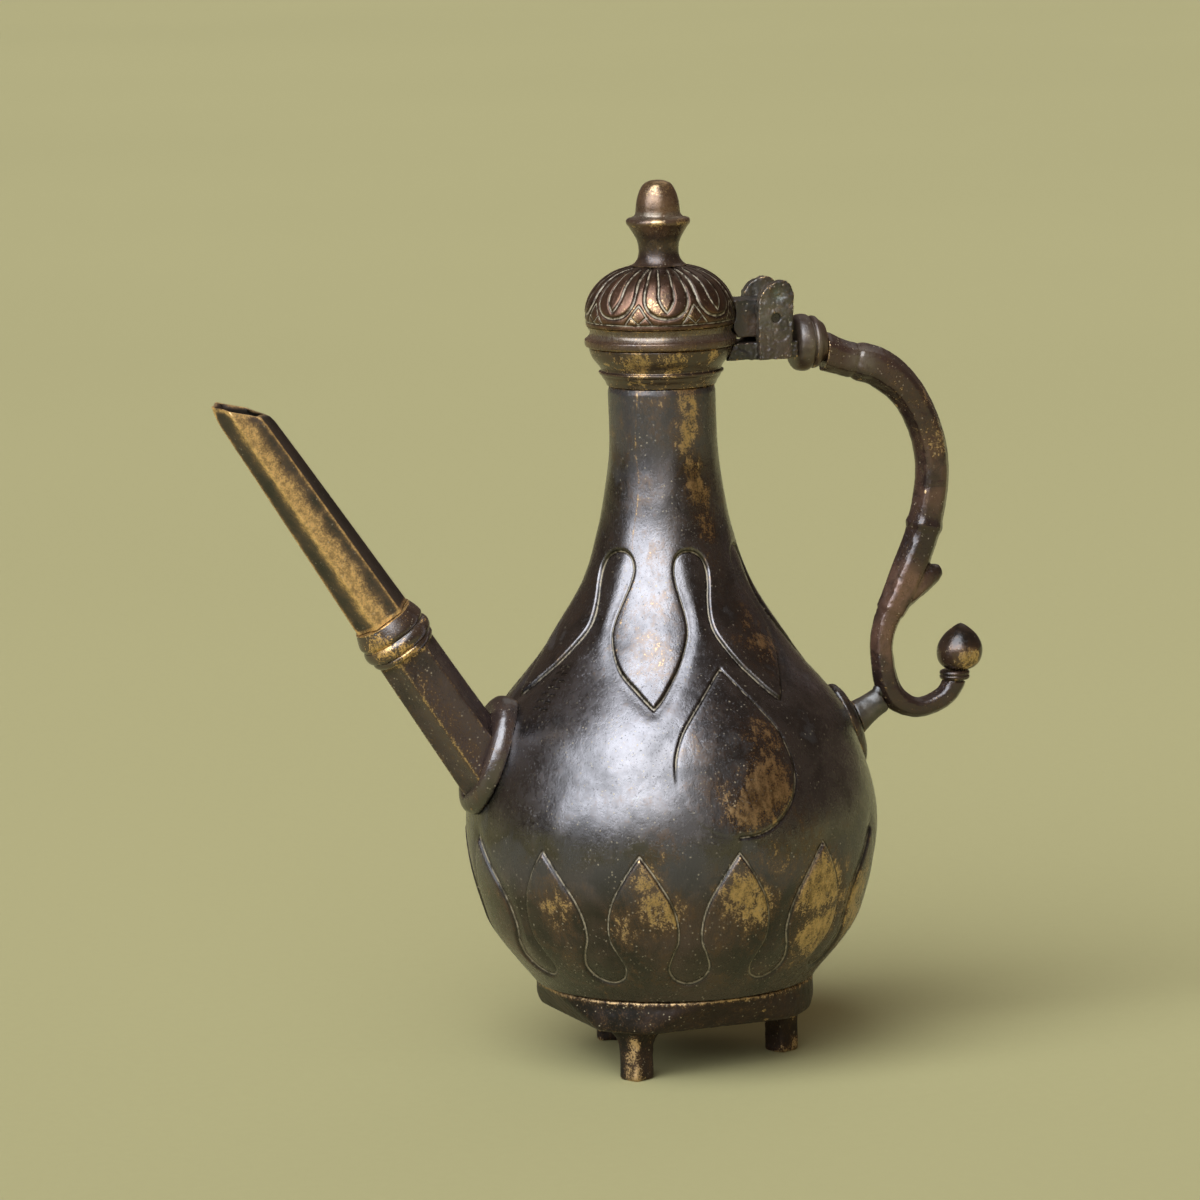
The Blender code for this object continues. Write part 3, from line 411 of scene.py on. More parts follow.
def chased(name, profile, inner, steps, chase, beaten):
    """Closed turned form: profile outside with chasing, inner inside."""
    profile = np.asarray(profile, float)
    # Angle 0 faces the viewer's side, -Y, and grows towards +X.
    angles = np.arange(steps) * TAU / steps - math.pi
    work = Chasing(angles, profile[:, 1], profile[:, 0])
    chase(work)
    depth = work.depth + hand_beaten(angles, profile[:, 1], beaten)
    ends = np.minimum(np.arange(len(profile)), np.arange(len(profile))[::-1]) / 4
    depth *= np.clip(ends, 0, 1)[:, None]
    lean = np.gradient(profile, axis=0)
    length = np.maximum(np.hypot(lean[:, 0], lean[:, 1]), 1e-9)
    out_r, out_z = -lean[:, 1] / length, lean[:, 0] / length
    r = profile[:, :1] + depth * out_r[:, None]
    z = profile[:, 1:2] + depth * out_z[:, None]
    outside = np.stack([r * np.sin(angles), -r * np.cos(angles), z], 2)
    inner = np.asarray(inner, float)
    inside = np.stack([inner[:, :1] * np.sin(angles), -inner[:, :1] * np.cos(angles),
                       inner[:, 1:2] * np.ones((1, steps))], 2)
    lining = np.zeros((len(inner), steps))
    marks = {"line": np.concatenate([work.line, lining]), "proud": np.concatenate([work.proud, lining])}
    return loft(name, np.concatenate([outside, inside]), loop=True, marks=marks, crease=0)


def make_body():
    rows = 460
    steps = 960
    even = np.linspace(BODY_TOP, BODY_BOTTOM, 4000)
    run = np.concatenate([[0], np.cumsum(np.hypot(np.diff(even), np.diff(body_radius(even))))])
    heights = np.interp(np.linspace(0, run[-1], rows), run, even)
    outer = np.stack([body_radius(heights), heights], 1)
    low = np.linspace(BODY_BOTTOM, BODY_TOP, 60)
    step = 1e-3
    slope = (body_radius(low + step) - body_radius(low - step)) / (2 * step)
    inner = np.stack([body_radius(low) - SHELL * np.hypot(1, slope), low], 1)
    return chased("kettle_body", outer, inner, steps, chase_body, 0.22)


def make_dome():
    steps = 600
    sweep = np.linspace(math.pi / 2, 0, 110)
    widest, foot = DOME_MIDDLE + DOME_ROUND, 25.0
    crown = np.stack([DOME_MIDDLE + DOME_ROUND * np.cos(sweep), DOME_SPRING + DOME_CROWN * np.sin(sweep)], 1)
    top = np.stack([np.linspace(SHANK_HOLE, DOME_MIDDLE, 8)[:-1], np.full(7, DOME_TOP)], 1)
    skirt = np.stack([np.linspace(widest, foot, 8)[1:], np.linspace(DOME_SPRING, DOME_BOTTOM, 8)[1:]], 1)
    outer = np.concatenate([top, crown, skirt])
    lining = np.stack([DOME_MIDDLE + (DOME_ROUND - DOME_WALL) * np.cos(sweep[::-4]),
                       DOME_SPRING + (DOME_CROWN - DOME_WALL) * np.sin(sweep[::-4])], 1)
    ends = [(widest - DOME_WALL, DOME_BOTTOM)], [(SHANK_HOLE, DOME_TOP - DOME_WALL)]
    inner = np.concatenate([ends[0], lining, ends[1]])
    return chased("lid_dome_chased", outer, inner, steps, chase_dome, 0.05)


# Turned pieces

def make_collar():
    base, flare = NECK_RADIUS, 24.1 - NECK_RADIUS
    low = BODY_TOP + SEAM
    tall = COLLAR_TOP - low

    def at(up, out):
        return (base + flare * out, low + tall * up)

    cup = smooth([at(1.0, 0.97), at(0.97, 1.0), at(0.90, 0.98), at(0.78, 0.90), at(0.66, 0.75),
                  at(0.52, 0.52), at(0.44, 0.42)], 8)
    ridge = smooth([at(0.44, 0.42), at(0.40, 0.41), at(0.36, 0.52), at(0.31, 0.50), at(0.27, 0.40)], 6)
    foot = smooth([at(0.27, 0.40), at(0.20, 0.33), at(0.10, 0.19), at(0.0, 0.11)], 8)
    # The spigot goes down into the neck, and the bore opens out above it.
    spigot, bore, deep = 15.4, 13.7, 6
    inside = [(spigot, low), (spigot, low - deep), (bore, low - deep), (bore, low), (16.4, low + 5.8),
              (21.5, COLLAR_TOP)]
    return loft("collar_cup", spin(joined(cup, ridge, foot, inside), 128), loop=True)


# How far up the rim its hollow runs round
COVE = 0.74


def make_lid_rim():
    tall = RIM_TOP - RIM_BOTTOM
    band_radius, flange_reach, bore = 24.3, 1.3, 21.8

    def at(up, out):
        return (band_radius + flange_reach * out, RIM_BOTTOM + tall * up)

    band = smooth([at(1.0, 0.35), at(0.90, 0.0), at(COVE, -0.35), at(0.58, -0.2), at(0.48, 0.2),
                   at(0.41, 0.55)], 7)
    flange = smooth([at(0.41, 0.55), at(0.36, 0.92), at(0.28, 1.0), at(0.14, 1.0), at(0.05, 0.86),
                     at(0.0, 0.55)], 7)
    profile = joined(band, flange, [(bore, RIM_BOTTOM), (bore, RIM_TOP)])
    return loft("lid_rim_turned", spin(profile, 128), loop=True)


def make_finial():
    foot, tall = DOME_TOP + SEAM, 28.5

    def at(r, up):
        return (r, foot + tall * up)

    acorn = smooth([at(0, 1.0), at(2.4, 0.992), at(4.6, 0.953), at(6.0, 0.878), at(6.85, 0.79),
                    at(7.3, 0.71), at(7.5, 0.64), at(7.7, 0.60)], 8)
    lip = smooth([at(7.7, 0.60), at(8.2, 0.577), at(9.2, 0.562), at(10.3, 0.552)], 6)
    edge = smooth([at(10.3, 0.552), at(10.75, 0.528), at(10.75, 0.498), at(10.2, 0.468)], 6)
    stem = smooth([at(10.2, 0.468), at(8.7, 0.39), at(7.35, 0.30), at(6.75, 0.205), at(7.0, 0.10),
                   at(7.9, 0.04), at(9.3, 0.0)], 8)
    # Its shank goes down through the dome to a rivet head.
    shank, head, head_top, head_low = 2.0, 3.6, 269.0, 267.6
    rivet = [at(shank, 0.0), (shank, head_top), (head, head_top), (2.9, head_low), (0, head_low)]
    return loft("acorn_finial", spin(joined(acorn, lip, edge, stem, rivet), 96))


ALONG_X = Matrix.Rotation(math.pi / 2, 4, "Y")
BEAD_AT = (46.3, 0, 242.6)


def make_bead():
    size, long = 9.7, 11.0

    def at(up, out):
        return (size * out, long * up)

    near = smooth([at(0, 0.66), at(0.03, 0.82), at(0.11, 0.94), at(0.24, 0.99), at(0.38, 1.0),
                   at(0.50, 0.96), at(0.56, 0.86)], 8)
    groove = smooth([at(0.56, 0.86), at(0.58, 0.835), at(0.60, 0.87)], 4)
    far = smooth([at(0.60, 0.87), at(0.66, 0.92), at(0.76, 0.90), at(0.86, 0.79), at(1.0, 0.68)], 8)
    profile = joined([at(0, 0)], near, groove, far, [at(1.0, 0)])
    return loft("handle_bead_turned", spin(profile, 96, ALONG_X, BEAD_AT))


# The end of the scroll: reach, height
BUD_AT = (103.5, 123.0)


def make_bud_ring():
    profile = joined([(0, 3.3)], smooth([(4.3, 3.3), (5.0, 2.9), (5.2, 2.2), (4.9, 1.65)], 6),
                     smooth([(4.9, 1.65), (5.2, 1.2), (5.0, 0.4), (4.4, 0)], 6), [(0, 0)])
    return loft("bud_ring_turned", spin(profile, 72, None, (BUD_AT[0], 0, BUD_AT[1] + SEAM)))


def make_bud():
    size, tall = 7.9, 15.8
    stations = ((1.0, 0.0), (0.975, 0.14), (0.90, 0.37), (0.74, 0.72), (0.54, 0.95), (0.36, 1.0),
                (0.17, 0.91), (0.05, 0.70), (0.0, 0.5))
    profile = joined(smooth([(size * out, tall * up) for up, out in stations], 8), [(0, 0)])
    rows = spin(profile, 96)
    # The bud leans a little away from the kettle.
    rows[..., 0] += 0.055 * rows[..., 2]
    return loft("handle_bud_turned", rows + np.array([BUD_AT[0] + 1.6, 0, BUD_AT[1] + 3.9]))


# Stand

# The lower edges of the ring are bevelled up to a height
RING_TOP, RING_LOW, RING_BEVEL, RING_RADIUS, RING_FLAT = 28.7, 17.4, 18.6, 47.4, 39.0
RING_STEPS, LEG_STEPS = 192, 48
# Directions of the legs in degrees, their distance from the axis, and how each square is turned
LEG_TURNS, LEG_REACH, LEG_SKEWS = (-9, 111, 231), 36.6, (37, -38, -22)
# Leg stations: height, half width, and how much wider it is along the ring
LEG = ((0, 4.3, 0), (0.7, 4.65, 0), (3, 4.65, 0), (8, 4.6, 0), (11.5, 4.7, 0.1), (14, 5.0, 0.5),
       (16, 5.6, 1.2), (17.6, 6.3, 2.4), (20, 6.8, 3.0))


def stand_ring():
    """A ring that is round above and squared off below, by four flats that lean outwards as they rise."""
    ring = joined(smooth([(46.2, RING_TOP), (47.0, 28.4), (47.3, 27.5)], 4),
                  smooth([(47.3, 27.5), (47.1, 26.5), (47.3, 24.5), (RING_RADIUS, 22.0), (47.2, 19.6),
                          (46.6, 18.0), (45.4, RING_LOW)], 6),
                  [(32.0, RING_LOW), (30.5, RING_BEVEL), (30.5, RING_TOP)])
    rows = spin(ring, RING_STEPS)
    around = np.degrees(np.arange(RING_STEPS) * TAU / RING_STEPS)
    off = np.radians(folded(around, 90, 6))
    soft, base = 0.5, 40
    for i, (r, z) in enumerate(ring):
        if r < base:
            continue
        lean = (RING_RADIUS - RING_FLAT) * (z - RING_LOW) / (RING_TOP - RING_LOW)
        flat = (RING_FLAT + lean - max(0.0, RING_BEVEL - z) * 0.5) / np.cos(off)
        # The smaller of the round and the flat, with a soft corner between them
        held = base - soft * np.log(np.exp(-(r - base) / soft) + np.exp(-(flat - base) / soft))
        rows[i, :, :2] *= (held / r)[:, None]
    return loft("stand_ring", rows, loop=True)


def stand_leg(name, turn, skew):
    corner = np.arange(LEG_STEPS) * TAU / LEG_STEPS
    square = 1 / (np.abs(np.cos(corner)) ** 5 + np.abs(np.sin(corner)) ** 5) ** (1 / 5)
    c, s = math.cos(turn), math.sin(turn)
    outermost = 7.6
    rows = []
    for z, half, grow in LEG:
        out = LEG_REACH + np.minimum(half * square * np.cos(corner + skew), outermost)
        y = (half + grow) * square * np.sin(corner + skew)
        rows.append(np.stack([c * out - s * y, s * out + c * y, np.full(LEG_STEPS, z)], 1))
    return loft(name, rows)


def make_stand():
    forms = [stand_ring()]
    for i, (turn, skew) in enumerate(zip(LEG_TURNS, LEG_SKEWS)):
        forms.append(stand_leg(f"stand_leg_{i + 1}", math.radians(turn), math.radians(skew)))
    return cast("stand_cast", forms, voxel=0.5, rounds=5)


# Spout

SLOPE = math.radians(57)
SPOUT_HEIGHT, SPOUT_WALL = 105.5, 1.85
SPOUT_FOOT = np.array([-float(body_radius(SPOUT_HEIGHT)), 0, SPOUT_HEIGHT])
SPOUT_WAY = np.array([-math.cos(SLOPE), 0, math.sin(SLOPE)])
SPOUT_OVER = np.array([math.sin(SLOPE), 0, math.cos(SLOPE)])
SPOUT_TURN = Matrix.Rotation(SLOPE - math.pi / 2, 4, "Y")
SIDE = np.array([0, 1.0, 0])


def hexagon(steps, soft, dish=0.0):
    """Six-sided ring of unit corner radius with a corner at angle 0, corners softened and sides dished."""
    angle = np.arange(steps) * TAU / steps
    off = angle % (TAU / HEX) - math.pi / HEX
    flat = math.cos(math.pi / HEX) / np.cos(off) - dish * (1 - (off * HEX / math.pi) ** 2)
    return angle, flat - soft * np.clip((flat - 0.93) / 0.07, 0, 1) ** 2


HEX_ANGLE, HEX_REACH = hexagon(120, 0.016, 0.045)
RISE, ASIDE = (HEX_REACH * np.cos(HEX_ANGLE))[:, None], (HEX_REACH * np.sin(HEX_ANGLE))[:, None]
# How far the spout's corners are rubbed, and partly a painted highlight along them; corner 0 is the upper
# one, and they count round by the far side
CORNER_WEAR_AND_GLINT = ((1, 0.45), (2, 0.8), (3, 0.6), (4, 1.0), (5, 0.45))
FRONT_CORNER = 4 * TAU / HEX


def hex_ring(along, size, over=1.0):
    """A ring of the spout; over stretches its upper half."""
    depth = size * RISE * SPOUT_OVER
    depth = np.where(RISE > 0, depth * over, depth)
    return SPOUT_FOOT + along * SPOUT_WAY + depth + size * ASIDE * SIDE


def off_angle(angle):
    """Angle round the spout from the given one, without sign."""
    return np.abs((HEX_ANGLE - angle + math.pi) % TAU - math.pi)


def ridge_marks(outer, inner):
    """Where the corners of the spout are rubbed, partly as painted highlight along the ridges: most on the
    lower front one and above it.
    """
    worn = 0.70 * np.exp(-(off_angle(FRONT_CORNER + 0.20) / 0.50) ** 2)
    for corner, much in CORNER_WEAR_AND_GLINT:
        worn = np.maximum(worn, much * np.exp(-(off_angle(corner * TAU / HEX) / 0.13) ** 2))
    return {"ridge": np.concatenate([np.tile(worn, (outer, 1)), np.zeros((inner, len(worn)))])}


def make_spout_lower():
    buried, long, root, taper = 14, 48.7, 11.5, 0.7
    outer, inner = [], []
    for s in np.linspace(-buried, long, 40):
        size = root - taper * s / long
        # It swells on top where it meets the body.
        over = 1 + 0.26 * math.exp(-max(s - 1, 0) / 5.5)
        outer.append(hex_ring(s, size, over))
        inner.append(hex_ring(s, size - SPOUT_WALL))
    return loft("spout_lower_tube", np.array(outer + inner[::-1]), loop=True, crease=70,
                marks=ridge_marks(len(outer), len(inner)))


def make_spout_upper():
    start, long, root, taper = 62.9, 86.0, 10.3, 2.3
    lean = 1 / math.tan(SLOPE - math.radians(12))
    tip = np.clip(-np.cos(HEX_ANGLE), 0, 1)[:, None]
    outer, inner = [], []
    for t in np.linspace(0, 1, 60):
        for rows, inset in ((outer, 0.0), (inner, SPOUT_WALL)):
            size = root - taper * t - inset
            # The mouth is cut nearly level, so the last rings slide along the spout into its slanted plane.
            # The tip is blunt, and the front is worn lower.
            slide = size * (0.2 * ASIDE - RISE * lean * (1 - 0.2 * tip ** 6)) * t ** 6
            ring = hex_ring(start + long * t, size) + slide * SPOUT_WAY
            centre = SPOUT_FOOT + (start + long * t + slide) * SPOUT_WAY
            # The outer lip is rubbed round, most at the tip.
            pull = (0.05 + 0.10 * tip ** 3) * np.clip((t - 0.93) / 0.07, 0, 1) ** 2 * (inset == 0)
            rows.append(ring - pull * (ring - centre))
    outer, inner = np.array(outer), np.array(inner)
    lip = 0.5 * (outer[-1] + inner[-1]) + 0.35 * SPOUT_WAY
    return loft("spout_upper_tube", np.concatenate([outer, lip[None], inner[::-1]]), loop=True, crease=70,
                marks=ridge_marks(len(outer) + 1, len(inner)))


# Where the knuckle starts along the spout
KNUCKLE_AT = 49.0


def make_knuckle():
    end, swell, long, bore, steps = 11.1, 1.3, 13.6, 7.75, 96

    def at(up, out):
        return (end + swell * out, long * up)

    low = smooth([at(0, -0.2), at(0.06, 0.2), at(0.12, 0.25), at(0.17, -0.05)], 6)
    belly = smooth([at(0.17, -0.05), at(0.22, 0.7), at(0.32, 1.0), at(0.42, 0.95), at(0.50, 0.55)], 7)
    cut = smooth([at(0.50, 0.55), at(0.535, 0.25), at(0.57, 0.5)], 4)
    top = smooth([at(0.57, 0.5), at(0.64, 0.75), at(0.74, 0.55), at(0.88, 0.05), at(1.0, -0.45)], 7)
    profile = joined(low, belly, cut, top, [(bore, long), (bore, 0)])
    rows = spin(profile, steps)
    # Worn unevenly round the turn
    turn = np.arange(steps) * TAU / steps
    rows[:-2, :, :2] *= (1 + 0.012 * np.sin(2 * turn + 0.6) + 0.008 * np.sin(5 * turn))[None, :, None]
    rows = rows @ np.array(SPOUT_TURN.to_3x3()).T + SPOUT_FOOT + KNUCKLE_AT * SPOUT_WAY
    return loft("spout_knuckle_turned", rows, loop=True)


# Handle

# Stations of the bar and of its spur: reach, height, half depth
BAR = ((57.6, 239.2, 7.2), (64.6, 236.6, 6.5), (78.1, 232.2, 7.2), (89.6, 220.6, 6.4), (96.2, 200.6, 6.4),
       (93.2, 177.6, 6.5), (84.6, 156.5, 5.8), (78.2, 143.6, 4.7), (77.0, 134.0, 4.4), (80.2, 120.0, 4.7),
       (88.9, 114.5, 3.8), (98.9, 117.2, 4.0), (103.5, 123.0, 4.4))
SPUR = ((81.4, 150.5, 4.6), (90.4, 157.5, 5.0), (96.6, 160.8, 3.6), (98.9, 161.6, 2.0))
BAR_ANGLE, BAR_REACH = hexagon(60, 0.075)


def bar(name, route, ends=(None, None)):
    """Faceted bar along a dense route of reach, height and half depth, ridges in the handle's plane."""
    route = np.asarray(route, float)
    way = np.gradient(route[:, :2], axis=0)
    for index, end in ((0, ends[0]), (-1, ends[1])):
        if end is not None:
            way[index] = end
    way /= np.linalg.norm(way, axis=1)[:, None]
    rows = []
    for (u, z, half), (du, dz) in zip(route, way):
        depth = (half * BAR_REACH * np.cos(BAR_ANGLE))[:, None] * np.array([-dz, 0, du])
        width = (half * BAR_REACH * np.sin(BAR_ANGLE))[:, None] * SIDE
        rows.append(np.array([u, 0, z]) + depth + width)
    return loft(name, np.array(rows))


# Places on the bar: the end of its sleeve, a step in the arch, and the leaf tip that ends the arch
SLEEVE_END, ARCH_STEP, LEAF_TIP = 68.4, (93.4, 178.0), (80.2, 148.0)


def make_handle():
    route = smooth(BAR, 24)
    u, z, half = route.T
    along = np.concatenate([[0], np.cumsum(np.hypot(np.diff(u), np.diff(z)))])

    def nearest(reach, height):
        return along[np.argmin(np.hypot(u - reach, z - height))]

    def swell(middle, high, width):
        return high * np.exp(-((along - middle) / width) ** 2)

    # The sleeve ends in a narrow groove, before a fuller start of the arch. Only the bar's top is searched.
    groove = along[np.argmin(np.abs(u - SLEEVE_END) + (z < 225) * 99)]
    step, leaf = nearest(*ARCH_STEP), nearest(*LEAF_TIP)
    half = half + swell(groove, -0.55, 0.55) + swell(groove + 3.0, 0.35, 2.2) + swell(step, 0.75, 1.5)
    # The leaf overlaps the thinner scroll.
    half = half + 0.5 * (along < leaf) * np.clip((along - step - 4) / 12, 0, 1)
    forms = [bar("handle_bar", np.stack([u, z, half], 1), ((1, -0.1), (0.12, 1)))]
    forms.append(bar("handle_spur", smooth(SPUR, 10)))
    return cast("handle_cast", forms, voxel=0.42, rounds=4)


# A knob that blends the strut into the scroll: radius and height before it is scaled
STRUT_KNOB = ((0, 5.6), (2.6, 4.9), (4.2, 3.0), (4.9, 0), (4.2, -3.0), (2.6, -4.9), (0, -5.6))
KNOB_SCALE, STRUT_TOP = 0.5, np.array([75.8, 0, 121.0])


def make_strut():
    knob = loft("strut_blend", KNOB_SCALE * spin(STRUT_KNOB, 32) + STRUT_TOP)
    return cast("handle_strut_cast", [copy_of("handle_strut"), knob], voxel=0.35, rounds=9)


# Materials

DARK = (0.0100, 0.0075, 0.0052)
PLUM = (0.0330, 0.0200, 0.0150)
BROWN = (0.0750, 0.0430, 0.0280)
BRONZE = (0.1600, 0.0920, 0.0480)
COPPER = (0.2500, 0.1300, 0.0820)
GOLD = (0.6000, 0.4100, 0.2100)
SPOUT_BRASS = (0.7600, 0.4700, 0.1700)
DUST = (0.2300, 0.2000, 0.1450)
PALE_LINE = (0.3400, 0.2850, 0.1900)
GREEN = (0.1100, 0.2300, 0.1800)
STEEL = (0.2100, 0.2020, 0.2060)
BODY_BROWN, FLANGE_BROWN, HINGE_BROWN = (0.046, 0.028, 0.020), (0.050, 0.032, 0.027), (0.055, 0.036, 0.026)
TUBE_DARK, TUBE_PLUM = (0.020, 0.013, 0.012), (0.052, 0.034, 0.031)
GRIP_DARK, GRIP_BROWN = (0.026, 0.015, 0.012), (0.056, 0.030, 0.022)
FINIAL_BRASS = (0.240, 0.140, 0.070)


class Tree:
    """Short way to write shader nodes."""

    def __init__(self, owner):
        owner.use_nodes = True
        self.nodes = owner.node_tree.nodes
        self.links = owner.node_tree.links

    def add(self, kind, values=None, out=0, **settings):
        node = self.nodes.new("ShaderNode" + kind)
        for key, value in settings.items():
            setattr(node, key, value)
        for key, value in (values or {}).items():
            if isinstance(value, bpy.types.NodeSocket):
                self.links.new(value, node.inputs[key])
            else:
                node.inputs[key].default_value = value
        return node.outputs[out]

    def math(self, operation, a, b=0.0, clamp=False):
        return self.add("Math", {0: a, 1: b}, operation=operation, use_clamp=clamp)

    def plus(self, a, b, clamp=False):
        return self.math("ADD", a, b, clamp)

    def times(self, a, b, clamp=False):
        return self.math("MULTIPLY", a, b, clamp)

    def measure(self, operation, a, b):
        return self.add("VectorMath", {0: a, 1: b}, out=1, operation=operation)

    def ramp(self, value, low, high, to_low=0.0, to_high=1.0):
        return self.add("MapRange", {0: value, 1: low, 2: high, 3: to_low, 4: to_high},
                        interpolation_type="SMOOTHSTEP")

    def mix(self, factor, a, b):
        a = (*a, 1) if isinstance(a, tuple) else a
        b = (*b, 1) if isinstance(b, tuple) else b
        return self.add("Mix", {0: factor, 6: a, 7: b}, out=2, data_type="RGBA")

    def noise(self, place, scale, detail=4.0, rough=0.55, twist=0.0):
        return self.add("TexNoise", {"Vector": place, "Scale": scale, "Detail": detail, "Roughness": rough,
                                     "Distortion": twist})


class Skin(Tree):
    """A tree with the noises, from broad to fine, that a metal's layers share; streak draws out the grain."""

    def __init__(self, material, streak):
        super().__init__(material)
        self.place = self.add("TexCoord", out=3)
        drawn = self.add("VectorMath", {0: self.place, 1: (1.0, 1.0, streak)}, operation="MULTIPLY")
        self.broad = self.noise(self.place, 28, 3)
        self.cloud = self.noise(self.place, 95, 5, 0.6, 0.4)
        self.grain = self.noise(drawn, 430, 4, 0.65)
        self.fine = self.noise(self.place, 1600, 3, 0.6)
        self.point = self.add("NewGeometry", out=7)
        self.level = self.measure("DOT_PRODUCT", self.place, (0, 0, 1))

    def mark(self, name):
        """A value that the mesh carries."""
        return self.add("Attribute", out=2, attribute_name=name)

    def blob(self, centre, radius, strength):
        """A soft patch round a point given in mm from the vessel's axis."""
        spot = (centre[0] * MM + AXIS, centre[1] * MM, centre[2] * MM)
        far = self.measure("DISTANCE", self.place, spot)
        return self.ramp(far, radius * MM, radius * MM * 0.15, 0.0, strength)


def oxide(t, dark, mid, stains_and_highlights, bands):
    """Mottled browns, with patches round points and bands round a turned piece: discolouring and dust, some
    painted highlight and painted shade.
    """
    mottle = t.plus(t.broad, t.times(t.cloud, 0.6))
    colour = t.mix(t.ramp(mottle, 0.66, 1.0), dark, mid)
    for patch_colour, centre, radius, strength in stains_and_highlights:
        patch = t.blob(centre, radius, strength)
        colour = t.mix(t.times(patch, t.ramp(t.cloud, 0.3, 0.6)), colour, patch_colour)
    for patch_colour, middle, half, strength in bands:
        off = t.math("ABSOLUTE", t.math("SUBTRACT", t.level, middle * MM))
        band = t.ramp(off, half * MM, 0.4 * half * MM, 0.0, strength)
        colour = t.mix(t.times(band, t.ramp(t.grain, 0.25, 0.55)), colour, patch_colour)
    return colour


def burnish(t, polish):
    """Sheen from hands: it grows between two heights, stays, and fades between two more."""
    low, full, turn, top = (z * MM for z in polish)
    sheen = t.times(t.ramp(t.level, low, full), t.ramp(t.level, turn, top, 1.0, 0.40))
    return t.times(sheen, t.ramp(t.plus(t.broad, t.cloud), 0.70, 1.15, 0.40, 0.85))


def rubbing_and_highlight(t, wear, gold, proud, ridge, broken, edge):
    """How far the skin is rubbed off: in patches, on raised work and on edges, broken up by the noises; some
    patches and the spout's ridge marks are partly painted highlight.
    """
    rubbed = wear
    for centre, radius, strength in gold:
        rubbed = t.math("MAXIMUM", t.blob(centre, radius, strength), rubbed)
    if proud:
        rubbed = t.plus(rubbed, t.times(t.math("SUBTRACT", t.mark("proud"), 0.6), proud))
    if ridge:
        rubbed = t.plus(rubbed, t.times(t.mark("ridge"), ridge))
    mottle = -0.5 * sum(broken)
    for pattern, weight in zip((t.cloud, t.grain, t.fine), broken):
        mottle = t.plus(t.times(pattern, weight), mottle)
    rubbed = t.plus(rubbed, mottle)
    return t.plus(rubbed, t.ramp(t.point, 0.51, 0.56, 0.0, edge))


def fine_relief(t):
    """Grain and pits too fine for the mesh."""
    pit = t.times(t.ramp(t.fine, 0.38, 0.26), -0.7)
    height = t.plus(t.times(t.grain, 0.6), t.times(t.fine, 0.35))
    height = t.plus(height, t.times(t.cloud, 1.2))
    height = t.plus(height, pit)
    return t.add("Bump", {"Height": height, "Strength": 0.30, "Distance": 0.0004})


